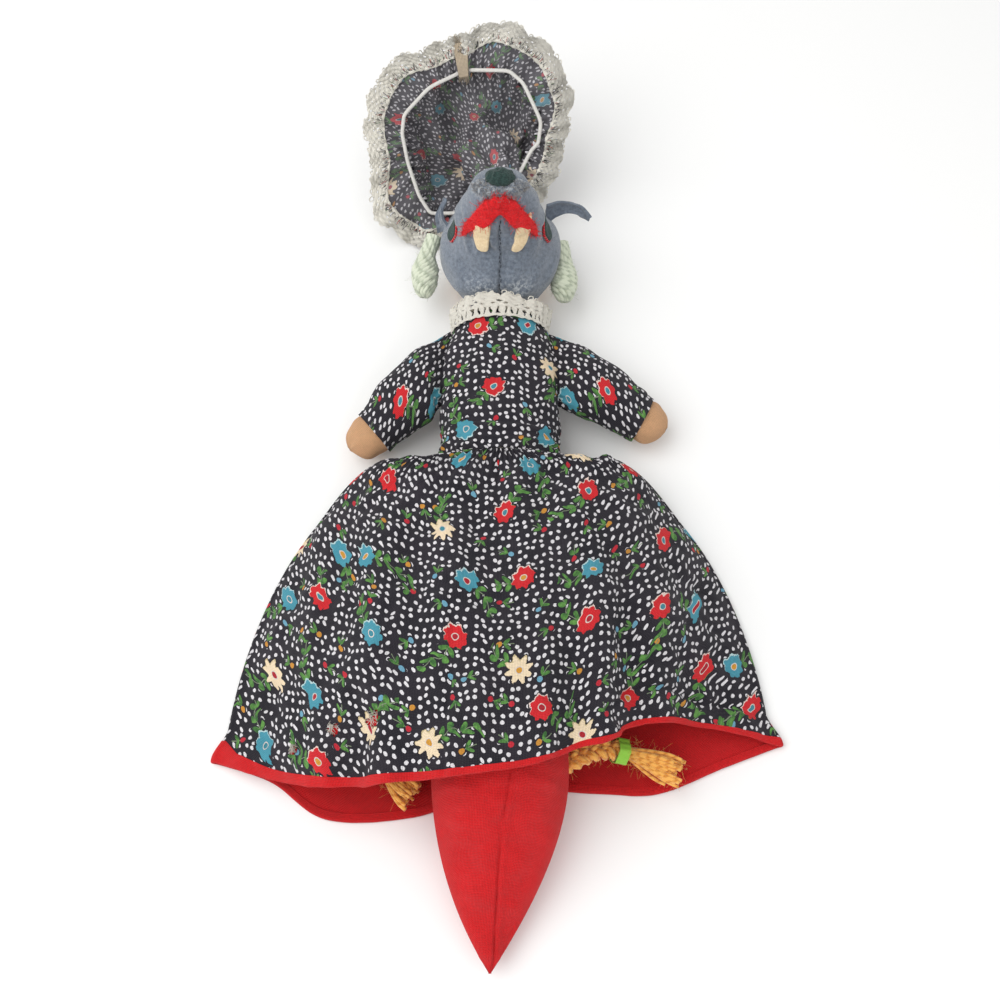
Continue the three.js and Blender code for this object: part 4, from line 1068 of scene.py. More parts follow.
binding = sheet_piece("hem_binding_tape", band, wrapped(band), RED, 0.3, around=True)
finished(
    binding, "torso", "red_cotton", "hem_binding_front", "hem_binding_back", other="skirt_front")

# %% [markdown]
# Each arm is a flat stuffed mitten of tan cotton in a straight sleeve. The sleeve is set into its
# armhole with small gathers and its cuff is turned in. The rings follow the same path as the CAD
# arm, so it swings at the same seam.

# %% Arm rings
ARM_X = CHEST_WIDE + 1.15 + 0.49  # just outside the bodice's cloth, where the sleeve is sewn on
ARMS = {
    "wolf_left": (1, -1, (-67.3, 26, 14.5), (-80, 17, 12.5), 1),
    "wolf_right": (1, 1, (76.5, 34, 14.5), (89, 29, 12.5), 1),
    "girl_left": (-1, -1, (-62, -31, 14.5), (-73.5, -24, 13), -1),
    "girl_right": (-1, 1, (62, -31, 14.5), (73.5, -24, 13), -1),
}


ARM_POINTS = 400


def arm_shape(end, side, wrist, tip, lift):
    """A function that gives rings at stations along the arm, the cuff's station and the length."""
    root = np.array([side * ARM_X, end * 58, AXIS_Z])
    wrist, tip = np.array(wrist, float), np.array(tip, float)
    elbow = mix(root, wrist, 0.4)
    elbow[2] = mix(root[2], wrist[2], 0.15) + lift
    line = path([root, elbow, wrist, tip], ARM_POINTS)
    ways = along(line)
    total = total_length(line)
    cuff = 1 - np.linalg.norm(tip - wrist) / total

    def rings(t, inset, sides):
        at = np.linspace(0, 1, ARM_POINTS)
        middle = sampled(t, at, line)
        middle = middle + ways[0] * np.minimum(0, t)[:, None] * total
        way = sampled(t, at, ways)
        square = np.cross([0, 0, 1], way) * end * side
        level = unit(mix(np.array([0, end, 0]), square, smooth(t / 0.4)[:, None]))
        up = unit(np.array([0, 0, 1]) - way * way[:, 2:])
        taper = smooth((t - 0.35) / (cuff - 0.35))
        wide = mix(mix(21, 17.5, smooth(t / 0.45)), 13.6, taper)
        deep = mix(0.9, mix(12.2, 10.4, taper), np.clip((t * total + 11) / 20, 0.05, 1) ** 0.8)
        rest = round_end(np.clip((t - cuff) / (1 - cuff), 0, 0.985) ** 1.35)
        wide = np.where(t > cuff, 13.55 * rest, wide)
        deep = np.where(t > cuff, 10.35 * rest, deep)
        a = full_turn(sides, FROM_BELOW)[:, None, None]
        across = (wide - inset)[:, None] * np.cos(a) * level
        upward = (deep - inset)[:, None] * np.sin(a) * up
        return middle + across + upward

    return rings, cuff, total


for name, arm in ARMS.items():
    print(name, "arm:", round(float(arm_shape(*arm)[2])), "mm long")

# %% [markdown]
# The sleeve is an open tube of cloth round the rings, and the mitten is a closed stuffed form that
# starts inside it. The mitten is slimmer where the cuff holds it.


# %% Sleeves and mittens
def arm_pieces(name, sleeve_cloth, slot, seed):
    rings, cuff, total = arm_shape(*ARMS[name])
    body = name.replace("_", "_arm_")
    t = np.linspace(-0.13, cuff, 110)
    grid = rings(t, 0.2, 140)
    away = np.broadcast_to(t * total, grid.shape[:2])
    a = full_turn(140)[:, None]
    gathers = 0.6 * np.exp(-np.abs(away - 1) / 6) * np.sin(22 * a + seed)
    bends = 0.55 * wrinkles(16 * a, away, 18, seed, facing=1.4, spread=0.5)
    cuff_fold = -0.5 * hump(away - away.max() + 4.5, 0.6)
    grid = pushed(grid, np.clip(gathers + bends * smooth(away / 12) + cuff_fold, -0.6, 1.2))
    sleeve = sheet_piece(
        name + "_sleeve_cloth", grid, wrapped(grid), sleeve_cloth, 0.45, around=True)
    finished(sleeve, body, slot, body.replace("arm", "sleeve"))
    t = np.linspace(cuff - 0.25, 1, 60)
    grid = rings(t, mix(2.8, 1.5, smooth((t - cuff + 0.08) / 0.08)), 90)
    away = np.broadcast_to((t - cuff) * total, grid.shape[:2])
    a = full_turn(90)[:, None]
    grid = pushed(grid, 0.3 * wrinkles(13 * a, away, 12, seed + 7))
    hand = stuffed_piece(name + "_mitten", grid, wrapped(grid), SKIN)
    finished(hand, body, "skin_cotton", body)
    return hand


for seed, name in enumerate(ARMS, 31):
    arm_pieces(name, *((CALICO, "calico") if "wolf" in name else (RED, "red_cotton")), seed)

# %% [markdown]
# The wolf's head is one stuffed ball whose front runs into a blunt snout. Its rings lie level, one
# above the other, from the back of the head to the tip of the snout. A seam runs down the chin. The
# back of the head is the pale face of an old woman, joined on where the ball curves under.

# %% Wolf head
HEAD_Y, HEAD_BACK, SNOUT_ROOT, SNOUT_TIP = 131, 0.6, 62.6, 94


def head_radii(z):
    ball = np.sin(math.pi * np.clip((z - HEAD_BACK) / 62 * 0.9 + 0.035, 0, 1)) ** 0.55
    up = smooth((z - SNOUT_ROOT + 26) / 30)
    far = np.clip((z - SNOUT_ROOT) / (SNOUT_TIP - SNOUT_ROOT), 0, 1)
    end = round_end(np.maximum(0, 1 - (SNOUT_TIP - z) / 4) * 0.8)
    wide = mix(24, 12.5, far**1.15) * end
    high = mix(21, 9, far**0.9) * end
    throat = mix(34.5 * ball, high, smooth((z - 34) / 40))
    return mix(33.5 * ball, wide, up), mix(34 * ball, high, up), throat


def head_point(turn, z, offset=0.0):
    """A point on the head: turn 0 is the throat's side and half a turn is the crown."""
    wide, crown, throat = head_radii(z)
    reach = np.where(np.cos(turn) > 0, throat, crown)
    return np.stack([(wide + offset) * np.sin(turn), HEAD_Y - (reach + offset) * np.cos(turn),
                     z + 0 * turn], -1)


def head_grid(levels, columns=240):
    A, Z = crossed(np.linspace(-math.pi, math.pi, columns, endpoint=False), levels)
    return head_point(A, Z), A, Z


levels = np.concatenate(
    [np.linspace(14.6, 84, 120), SNOUT_TIP - 10 * np.cos(np.linspace(0, math.pi / 2, 34)[1:])])
grid, A, Z = head_grid(levels, 420)
wide, _, throat = head_radii(Z)
from_chin = A * throat
chin_seam = -1.5 * hump(from_chin - 0.5 * np.sin(Z / 4), 0.6) * smooth((80 - Z) / 3)
pull = -0.8 * hump(from_chin, 5) * smooth((76 - Z) / 6)
hollow = 0.5 * wrinkles(grid[..., 0], Z * 1.1, 16, 41) * smooth((88 - Z) / 8)
gathers = 0.7 * hump(Z - 64, 9) * wrinkles(grid[..., 0] * 1.5, Z, 9, 42, facing=0.4, spread=0.5)
grid = pushed(grid, np.clip(chin_seam + pull + hollow + gathers, -1.8, 1.0))
chin = hump(np.abs(from_chin) - 9, 9) * hump(Z - 40, 4.5)
round_nose = hump(Z - 92, 4) * (np.abs(A) < 1.6)
by_ear = hump(np.abs(A) - 1.9, 0.35) * hump(Z - 50, 9)
stain = np.clip(chin * 1.0 + round_nose * 1.0 + 0.3 * by_ear + 0.1, 0, 1)
wolf_head = stuffed_piece("wolf_head_cloth", grid, wrapped(grid), GREY, stain)
finished(wolf_head, "wolf_head", "grey_cotton", "wolf_head")
seam_z = np.arange(34, 79, 2.1)
stitches = []
for z in seam_z:
    at = head_point(
        np.array([0.02 * math.sin(z), 0.02 * math.sin(z + 1)]), np.array([z, z + 1.25]), -0.75)
    stitches.append(path([at[0], at.mean(0) + [0, -0.3, 0], at[1]], 6))
chin_thread = tubes("chin_seam_stitches", stitches, [0.22] * len(stitches), DARK_THREAD, sides=6)
finished(chin_thread, "wolf_head", "grey_cotton")
grid, A, Z = head_grid(HEAD_BACK + 14.4 * np.sin(np.linspace(0, math.pi / 2, 40)) ** 1.6, 200)
grid = pushed(grid, 0.25 * wrinkles(grid[..., 0], grid[..., 1], 14, 43))
back_face = stuffed_piece("granny_face_cloth", grid, wrapped(grid), PALE_SKIN)
finished(back_face, "wolf_head", "skin_cotton", "granny_face")

# %% [markdown]
# Mouth, fangs, eyes and nose are cut from felt and stitched on. Felt is thick and soft, so each is
# a patch over the head with rounded edges. Fibres stand off its edge, and they are real geometry,
# because they catch light along the outline. The eyes are ringed with a loop of red embroidery
# thread.

# %% Felt patches
MOUTH_REACH = math.radians(55)


def lip_low(side):
    return mix(mix(82.5, 73.5, smooth(side / 0.4)), 62, smooth((side - 0.5) / 0.5))


def mouth_place(u, v):
    side = np.abs(2 * u - 1)
    ragged = 0.5 * np.sin(23 * u) * (1 - v) + 0.4 * np.sin(31 * u + 2) * v
    return mix(-MOUTH_REACH, MOUTH_REACH, u), mix(lip_low(side), 91.5 - 21 * side**3, v) + ragged


def fang_place(side):
    root, tip = (-28, -23) if side < 0 else (43, 22)  # degrees round the head

    def place(u, v):
        across = (2 * u - 1) * 5.2 * mix(1, 0.55, v * v) / 22
        turn = math.radians(1) * mix(root, tip, v) + across
        blunt = 1.4 * (1 - (2 * u - 1) ** 2) * v**3
        return turn, 76.5 - v * 16.5 - blunt + 1.2 * side * (1 - v)
    return place


def eye_place(side):
    def place(u, v):
        width = np.sin(math.pi * mix(0.06, 0.94, v)) ** 0.6
        level = mix(51.5, 57, v) + (2 * u - 1) * 6 * width
        return side * mix(math.radians(77), math.radians(110), v), level
    return place


def felt_patch(name, place, counts, material, height=1.5, seed=0):
    """A felt shape on the head with soft edges, and its outline."""
    turn, level = place(*crossed(np.linspace(0, 1, counts[0]), np.linspace(0, 1, counts[1])))
    flat = head_point(turn, level)
    across, down = arc(flat, 0), arc(flat, 1)
    rim = np.minimum(
        np.minimum(across, across[-1:] - across), np.minimum(down, down[:, -1:] - down))
    rise = height * np.sqrt(np.clip(1 - (1 - np.clip(rim / 1.3, 0, 1)) ** 2, 0, 1))
    rise = rise + 0.18 * wrinkles(flat[..., 0], flat[..., 2], 5, seed) * np.clip(rim, 0, 1)
    grid = head_point(turn, level, 0.15 + rise)
    facing = turn[counts[0] // 2, 0]
    toward = np.array([np.sin(facing), -np.cos(facing), 0.3])
    made = sheet_piece(name, grid, np.stack([across, down], 2), material, 0.7, toward=toward)
    # The felt is cut to what it covers and its turned edge, because it doesn't stretch.
    cut = (arc(grid, 0)[-1].max() * MM, arc(grid, 1)[:, -1].max() * MM)
    edge = np.concatenate([grid[:, 0], grid[-1, 1:], grid[::-1, -1][1:], grid[0, ::-1][1:-1]])
    return made, edge, grid


print("the mouth reaches", round(math.degrees(MOUTH_REACH)), "degrees round each side of the snout")

# %% [markdown]
# The mouth lies lowest and the fangs overlap it, as they were stitched on. Each eye has its ring of
# thread along its own outline, so the ring fits whatever shape the eye has.

# %% Mouth, fangs and eyes
mouth, mouth_edge, mouth_grid = felt_patch(
    "mouth_felt_patch", mouth_place, (130, 24), RED_FELT, 1.6, 51)
finished(mouth, "wolf_head", "red_felt", "mouth_felt")
inside = mouth_grid.reshape(-1, 3)
rng = np.random.default_rng(52)
roots = np.concatenate(
    [inside[rng.integers(0, len(inside), 420)], mouth_edge[rng.integers(0, len(mouth_edge), 380)]])
ways = unit(roots - np.array([0, HEAD_Y, 66]))
loose_fibres(
    "mouth_felt_fibres", fuzz(roots, ways, 1.5, 53, 0.8), 0.1, RED_FELT, "wolf_head", "red_felt")
for side, hand in ((-1, "left"), (1, "right")):
    fang, _, _ = felt_patch(
        "fang_" + hand + "_patch", fang_place(side), (22, 40), CREAM_FELT, 1.4, 54 + side)
    finished(fang, "wolf_head", "cream_felt", "fang_" + hand)
    eye, eye_edge, _ = felt_patch(
        "eye_" + hand + "_patch", eye_place(side), (30, 26), DARK_FELT, 1.4, 56 + side)
    finished(eye, "wolf_head", "dark_felt", "eye_" + hand)
    loop = path(eye_edge[:: max(1, len(eye_edge) // 14)], 90, closed=True)
    ring = tubes("eye_" + hand + "_stitched_ring", [loop], [0.75], RED_THREAD, sides=7, closed=True)
    finished(ring, "wolf_head", "red_felt")

# %% [markdown]
# The nose is a small stuffed dome of dark felt at the tip of the snout. A pale band of wool fibres
# shows between it and the mouth.

# %% Nose
A, D = crossed(full_turn(72), np.linspace(-0.25, 1.5, 26))
nose_grid = np.stack(
    [7.8 * np.cos(D) * np.cos(A), HEAD_Y + 5.4 * np.cos(D) * np.sin(A), 94.35 + 4.6 * np.sin(D)], 2)
nose_grid = pushed(nose_grid, 0.3 * wrinkles(nose_grid[..., 0], nose_grid[..., 1], 4, 58))
nose = stuffed_piece("nose_felt_dome", nose_grid, wrapped(nose_grid), DARK_FELT)
finished(nose, "wolf_head", "dark_felt", "nose_felt")
FLUFF_COUNT = 620
turn = rng.uniform(-1.5, 1.5, FLUFF_COUNT)
band_roots = head_point(turn, rng.uniform(89.5, 94, FLUFF_COUNT), 0.1)
band_ways = np.stack([np.sin(turn), -np.cos(turn), 0.9 + 0 * turn], 1)
NOSE_FLUFF = felt("pale_grey_fluff", "#b7b2ae", "#85878b")
fluff = fuzz(band_roots, band_ways, 0.8, 59, 0.9)
loose_fibres("nose_base_fibres", fluff, 0.1, NOSE_FLUFF, "wolf_head", "grey_cotton")

# %% [markdown]
# The ears are leaves of the same grey cloth, two layers thick. The right one has curled into an
# arch.


# %% Ears
def ear(name, points, across, body, solid):
    middle = path(points, 60)
    way = along(middle)
    across = np.array(across) / np.linalg.norm(across)
    facing = unit(np.cross(way, across))
    facing = facing if facing[20, 2] > 0 else -facing
    U, T = crossed(np.linspace(-1, 1, 40), np.linspace(0, 1, 60))
    width = 0.25 + 5.6 * (1 - T**2.2) * (1 - 0.35 * np.sin(math.pi * T))
    lift = 0.9 * U * U + 0.3 * wrinkles(U * 6, T * 22, 8, 61)
    grid = middle[None] + across * (U * width)[..., None] + facing[None] * lift[..., None]
    made = sheet_piece(name, grid, np.stack([U * 7, T * 22], 2), GREY, 1.5, toward=facing[20])
    made = applied(made, ("BEVEL", {"width": 0.4 * MM, "segments": 2, "limit_method": "ANGLE"}))
    finished(made, body, "grey_cotton", solid)
    length = float(arc(middle[None], 1)[0, -1]) * MM
    return made


ear("ear_right_cloth",
    [(25.5, 147.5, 43), (32, 149, 46.5), (38.7, 148.8, 48), (44.5, 148, 46), (49.8, 146.6, 41.5)],
    (0.05, 0.45, 0.89), "ear_right", "ear_right")
ear("ear_left_cloth", [(-31.5, 141, 38), (-33.5, 146.5, 44.5), (-30.5, 152.5, 51)],
    (-0.5, 0.3, -0.8), "ear_left", "ear_left")

# %% [markdown]
# The old woman's hair is pale wool. At each side of the head a hank of parallel strands runs down
# into a small bun, wound from the same yarn. Each strand is a tube with its plies in the finish,
# and short fibres stand off it, because wool is hairy.


# %% Wool hair
HANK_STRANDS, HANK_POINTS = 13, 120


def wound_hair(name, points, turns, seed, solid):
    line = path(points, HANK_POINTS)
    side_axis, up_axis = axes(line)
    share = np.linspace(0, 1, HANK_POINTS)
    rng = np.random.default_rng(seed)
    bulb = round_end(np.clip(np.abs(share - 0.67) / 0.325, 0, 1))
    reach = np.where(share < 0.67, mix(3.2, 6.2, smooth((share - 0.28) / 0.3)), 6.2 * bulb)
    strands, radii = [], []
    for k in range(HANK_STRANDS):
        twist = k * math.tau / HANK_STRANDS + turns * math.tau * smooth((share - 0.3) / 0.7)
        twist = twist + 0.12 * np.sin(share * 9 + k)
        own = reach + rng.uniform(-0.3, 0.4)
        strands.append((line + own[:, None] * circle(twist, side_axis, up_axis))[:-2])
        radii.append(1.4)
    strands.append(line[1:-3])  # the filling
    radii.append(reach[1:-3])
    finished(tubes(name, strands, radii, PALE_YARN, sides=9), solid, "pale_yarn", solid)
    count = 300
    pick, strand = rng.integers(0, HANK_POINTS - 4, count), rng.integers(0, HANK_STRANDS, count)
    roots = np.array([strands[k][i] for k, i in zip(strand, pick)])
    ways = unit(roots - line[pick])
    hairs = fuzz(roots + ways, ways * 0.5, 1.1, seed, 1.2)
    return loose_fibres(name + "_fibres", hairs, 0.06, PALE_YARN, solid, "pale_yarn")


wound_hair("hair_bun_left_wool", [(-36.5, 141, 33), (-41, 130, 28), (-42.5, 110.5, 18)], 0.62, 71,
           "hair_bun_left")
wound_hair("hair_bun_right_wool", [(33.5, 138, 31), (35.5, 127, 27), (36, 107.5, 18)], -0.62, 72,
           "hair_bun_right")
s = np.linspace(-1, 1, 90)
hairline = head_point(math.pi + s * math.radians(78), np.full(90, 11.0), 1.1)
a, b = axes(hairline)
strands = [hairline + 1.5 * circle(k * math.tau / 5 + s * 5, a, b) for k in range(5)]
hairline_wool = tubes("granny_hairline_wool", strands, [1.15] * 5, PALE_YARN, sides=8)
finished(hairline_wool, "wolf_head", "pale_yarn", "granny_hairline")

# %% [markdown]
# Two pieces of cotton lace are sewn on: a narrow frill round the neck and a wider one round the
# bonnet. Lace is mostly holes, so each strip is a fine grid with the holes left out: a band of
# ladder stitches, a net, and a scalloped edge of loops. The threads are drawn at about 0.6 mm, a
# little thicker than real, to be seen.


# %% Lace
# The depth of a scallop, the pitch of the ladder stitches, and where the net starts
SCALLOP, LADDER, NET_SHARE = 2.4, 1.7, 0.42


def scallop_at(x, repeat):
    """How far the edge stands back from the scallops' tips."""
    return SCALLOP * (1 - np.abs(np.sin(math.pi * x / repeat))) ** 1.3


def lace_threads(x, v, width, repeat, seed, solid_net):
    """True where there is thread: x is millimetres along the strip, v runs from seam to tip."""
    y = v * width
    jitter = 0.25 * np.sin(x * 0.9 + seed) + 0.2 * np.sin(x * 2.3 + y)
    scallop = width - scallop_at(x, repeat)
    cords = (y < 1.2) | (np.abs(y - NET_SHARE * width) < 0.6) | (
        (y > scallop - 1.3) & (y < scallop))
    ladder = (y < NET_SHARE * width) & (
        np.abs(np.mod(x + jitter, LADDER) - LADDER / 2) < LADDER / 2 * solid_net)
    turn = math.pi / 2.3
    net = np.minimum(
        np.abs(np.sin((x + y + jitter) * turn / 1.25)), np.abs(np.sin((x - y) * turn / 1.25)))
    net = (net < solid_net) & (y > NET_SHARE * width) & (y < scallop)
    centre = np.hypot(np.mod(x, repeat) - repeat / 2, y - 0.72 * width)
    flower = (centre < 0.2 * width) & (centre > 0.05 * width)
    return (cords | ladder | net | flower) & (y < scallop)


def lace_piece(name, grid, width, repeat, body, solid, flat, rests_on, seed, picot=0.65, knob=0.25,
               solid_net=0.68, **joined):
    uv = wrapped(grid)
    length = uv[-1, grid.shape[1] // 2, 0]
    columns = np.linspace(0, length, grid.shape[0], endpoint=False)
    repeat = length / round(length / repeat)
    X, T = crossed(columns, np.linspace(0, 1, grid.shape[1]))
    threads = lace_threads(X, T, width, repeat, seed, solid_net)
    knobs = knob * np.sin(X * 2.4 + seed + np.sin(X)) * np.sin(T * width * 2.2)
    grid = pushed(grid, knobs)
    made = sheet_piece(name, grid, uv, LACE, 0.6, around=True, keep=threads)
    finished(made, body, "cotton_lace", solid, **joined)
    loops = []
    rng = np.random.default_rng(seed)
    step = grid.shape[0] / max(1, round(length / LADDER))
    for k in np.arange(0, grid.shape[0] - 1, step):
        i = int(k)
        tip = 1 - scallop_at(columns[i], repeat) / width
        row = np.clip(int(tip * (grid.shape[1] - 1)) - 1, 1, grid.shape[1] - 1)
        here, below = grid[i, row], grid[i, max(0, row - 6)]
        there = grid[(i + int(step * 0.8)) % grid.shape[0], row]
        out = (here - below) / max(1e-6, np.linalg.norm(here - below))
        reach = rng.uniform(0.7, 1.6) * (1 if rng.random() > 0.1 else 1.8)
        bow = rng.normal(0, 0.3, 3)
        loops.append(path([here, mix(here, there, 0.2) + out * reach + bow,
                           mix(here, there, 0.8) + out * reach * 0.9 + bow, there], 12))
    edge = tubes(name + "_loops", loops, [picot / 2] * len(loops), LACE, sides=5)
    return finished(edge, joined.get("other", body), "cotton_lace")


A, T = crossed(full_turn(500, FROM_BELOW), np.linspace(0, 1, 40))
wide, deep = body_half(81.5)
flare = 0.9 * smooth(T) + 0.7 * T * np.sin(9 * A + 1) + 0.5 * T * np.sin(23 * A)
collar = np.stack([(wide + 1.95 + flare) * np.cos(A), mix(81.2, 95 + 1.2 * np.sin(3 * A + 2), T),
                   AXIS_Z + (deep + 3.45 + flare) * np.sin(A)], 2)
# It is given the head as a second body, so it stays fixed where it is made; its loops ride on the
# head.
lace_piece("collar_lace_frill", collar, 14, 6.5, "torso", "collar_lace", (0.165, 0.014), wolf_head,
           81, other="wolf_head", bend=COLLAR_BEND)

# %% [markdown]
# The bonnet is a round of calico. Its crown is tacked to the head and the rest has been turned
# back, so its mouth stands open like a saucer and shows the cloth's paler wrong side. Elastic
# gathers it into a ruffle with lace and a frayed edge. It has slumped unevenly, which the measured
# reaches of the ruffle give.

# %% Bonnet shape
MOUTH_MIDDLE = np.array([-16.6, HEAD_Y + 69.4, 42])
SLOPE = math.pi / 4
MOUTH_UP = np.array([0, math.cos(SLOPE), math.sin(SLOPE)])
MOUTH_OUT = np.array([0, -math.sin(SLOPE), math.cos(SLOPE)])
MOUTH_REACHES = [
    (0, 38), (16, 41), (47, 43.2), (61, 43.8), (94, 38.7), (128, 37.4), (158, 40.3), (173, 39.1),
    (197, 37.6), (224, 41.9), (239, 46), (265, 39), (290, 34), (322, 32.5), (352, 34), (360, 38)]
BRIM_REACHES = [
    (0, 44), (28, 54), (50, 58.5), (74, 57.5), (94, 48.5), (114, 46.5), (140, 53), (162, 52.5),
    (190, 49), (218, 59.5), (238, 58), (258, 47), (280, 42), (304, 41.5), (334, 42.5), (360, 44)]
TACK = np.array([3, float(head_point(np.array(math.pi), np.array(40.0), 0.93)[1]), 40])


def on_mouth(a, r, out):
    return (MOUTH_MIDDLE + np.asarray(r * np.cos(a))[..., None] * [1, 0, 0]
            + np.asarray(r * np.sin(a))[..., None] * MOUTH_UP
            + np.asarray(out + 0 * a)[..., None] * MOUTH_OUT)


def reach_at(pairs, a):
    turns, reaches = np.array(pairs, float).T
    at = np.degrees(a) % 360
    i = np.clip(np.searchsorted(turns, at, "right") - 1, 0, len(turns) - 2)
    return mix(reaches[i], reaches[i + 1], smooth((at - turns[i]) / (turns[i + 1] - turns[i])))


def fine_gathers(a):
    return np.sin(36 * a + 3 * np.sin(4 * a))


def edge_ripple(a):
    return 1.5 * np.sin(27 * a + 1.3 + 1.5 * np.sin(4 * a))


def brim(a, r, puff=0.0):
    out = r - reach_at(MOUTH_REACHES, a)
    ripple = np.clip(out / 12, 0, 1) * 2.6 * np.sin(12 * a)
    return on_mouth(a, r, out * 0.12 + ripple + puff)


BOWL_DEPTH = 27


def bonnet_bowl(a, v):
    start = TACK + 3 * np.stack([np.cos(a), 0 * a, np.sin(a)], -1)
    sag = (4 * BOWL_DEPTH * v * (1 - v))[..., None]
    return mix(start, on_mouth(a, reach_at(MOUTH_REACHES, a), 0), v[..., None]) - MOUTH_OUT * sag


mouth_reach = np.mean([reach for _, reach in MOUTH_REACHES])
print("the bonnet's mouth is about", round(float(2 * mouth_reach)), "mm across")

# %% [markdown]
# The bowl and the ruffle are one round of cloth, so they are one grid, from the tack on the crown
# over the mouth to the outer edge. The elastic draws up fine gathers on both sides of the mouth,
# and they fade out towards the crown and the edge.

# %% Bonnet cloth
turns = full_turn(520, FROM_BELOW)
A, B = crossed(turns, np.linspace(0, 1, 110))
bowl = bonnet_bowl(A, B)
A2, W = crossed(turns, np.linspace(0, 1, 46)[1:])
R = mix(reach_at(MOUTH_REACHES, A2), reach_at(BRIM_REACHES, A2), W)
past_mouth = R - reach_at(MOUTH_REACHES, A2)
small = 2.1 * fine_gathers(A2) * np.exp(-past_mouth / 7) + edge_ripple(A2) * np.clip(
    past_mouth / 9, 0, 1)
bonnet = np.concatenate([bowl, brim(A2, R, small)], 1)
run = arc(bonnet, 1)
deep = np.sin(math.pi * B)
crumple = 1.5 * wrinkles(A * 30, B * 30, 13, 91, facing=0.0, spread=0.35) * deep
crumple = crumple + 2.2 * fine_gathers(A) * smooth((B - 0.72) / 0.28)
for height, length, seed in ((4.6, 30, 92), (2.5, 15, 94), (0.7, 7, 95)):
    crumple = crumple + height * wrinkles(bowl[..., 0], bowl[..., 1], length, seed) * deep
# One big fold stands up in the bowl, from the head's crown out to the right.
fold_at = hump(A - 1.15 - 0.5 * np.sin(2.5 * B), 0.36)
crumple = crumple + 10.5 * fold_at * smooth(B / 0.3) * smooth((0.95 - B) / 0.3)
bonnet = pushed(bonnet, np.concatenate([crumple, 0 * W], 1), toward=MOUTH_OUT)
# The cloth is gathered like a cone, so the print is unrolled from one and meets in a seam behind
# the head. The finest gathers aren't drawn, so the cone is fuller than the mesh.
CONE, FULLNESS = 0.68, 1.25
opened = (np.append(turns, 1.5 * math.pi)[:, None] - math.pi / 2) * CONE
run = FULLNESS * np.concatenate([run, run[:1]])
cone_map = np.stack([run * np.sin(opened), run * np.cos(opened)], 2)
bonnet_cloth = sheet_piece("bonnet_calico", bonnet, cone_map, CALICO_BACK, 0.5, around=True,
                           wrong_side=CALICO, toward=MOUTH_OUT)
finished(bonnet_cloth, "bonnet", "calico", "bonnet_cloth")

# %% [markdown]
# The lace is sewn just inside the calico's edge, and the calico's raw edge has frayed into short
# stiff threads.

# %% Bonnet lace and frayed edge
A, T = crossed(full_turn(1000), np.linspace(0, 1, 34))
reach = reach_at(BRIM_REACHES, A)
wave = 2.0 * T * np.sin(30 * A + 2 * np.sin(3 * A)) + edge_ripple(A) * (1 - T)
frill = brim(A, reach - 1.5 + 11.5 * T + 0.7 * T * np.sin(17 * A), wave + 0.9 - 0.5 * T)
lace_piece("bonnet_lace_frill", frill, 11.5, 8.5, "bonnet", "bonnet_lace", (0.36, 0.0115),
           bonnet_cloth, 82, knob=0.35, solid_net=0.86)
rng = np.random.default_rng(93)
fray_turns = rng.uniform(0, math.tau, 700)
edge_wave = edge_ripple(fray_turns)
fray_roots = brim(fray_turns, reach_at(BRIM_REACHES, fray_turns) - 0.8, edge_wave + 1.2)
fray_ways = brim(fray_turns, reach_at(BRIM_REACHES, fray_turns) + 0.4, edge_wave + 1.7) - fray_roots
fray = fuzz(fray_roots, fray_ways, 2.6, 94, 0.35)
loose_fibres("bonnet_frayed_threads", fray, 0.13, CALICO, "bonnet", "calico", sides=4)

# %% [markdown]
# A soft white elastic runs round the mouth in small tacks, so its ring is a polygon rather than a
# circle. A short beige tape covers the join of its ends, and both ends of the tape are frayed.

# %% Elastic and its tab
corners = np.radians([turn for turn, _ in MOUTH_REACHES[:-1]])
hoop = on_mouth(corners, reach_at(MOUTH_REACHES, corners) + 0.6, np.full(len(corners), 2.0))
steps = np.linspace(0, 1, 14, endpoint=False)[:, None]
hoop = np.concatenate([mix(a, b, steps) for a, b in zip(hoop, np.roll(hoop, -1, 0))])
hoop = np.roll(hoop, -56, 0)  # its ends meet under the tape
for _ in range(4):
    hoop = (np.roll(hoop, 1, 0) + hoop + np.roll(hoop, -1, 0)) / 3
cord = tubes("bonnet_elastic_braid", [hoop], [1.1], ELASTIC, sides=12, closed=True)
finished(cord, "bonnet", "elastic", "bonnet_elastic")
U, T = crossed(np.linspace(-1, 1, 16), np.linspace(0, 1, 40))
tab_turn = math.radians(96)
tab_reach = mix(35.5, 54, T)
tab_grid = on_mouth(
    tab_turn - U * 3 / 39.5, tab_reach, 4.5 + 0.5 * np.sin(math.pi * T) + 0.25 * np.sin(T * 9 + U))
tab = sheet_piece(
    "elastic_tab_tape", tab_grid, np.stack([U * 3, tab_reach], 2), TAPE, 0.7, toward=MOUTH_OUT)
finished(tab, "bonnet", "twill_tape", "elastic_tab")
tab_way = unit(tab_grid[:, -1] - tab_grid[:, 0])
roots = np.tile(np.concatenate([tab_grid[:, 0], tab_grid[:, -1]]), (2, 1))
ways = np.tile(np.concatenate([-tab_way, tab_way]), (2, 1))
loose_fibres("elastic_tab_fray", fuzz(roots, ways, 2.6, 96, 0.3), 0.14, TAPE, "bonnet",
             "twill_tape", sides=4)

# %% [markdown]
# At the other end the girl lies face down under the skirt: a stuffed head in a long pointed red
# hood. Only the hood's point and her braids show. The hood is closed round the head and then runs
# out into an empty tip that flops to the table.

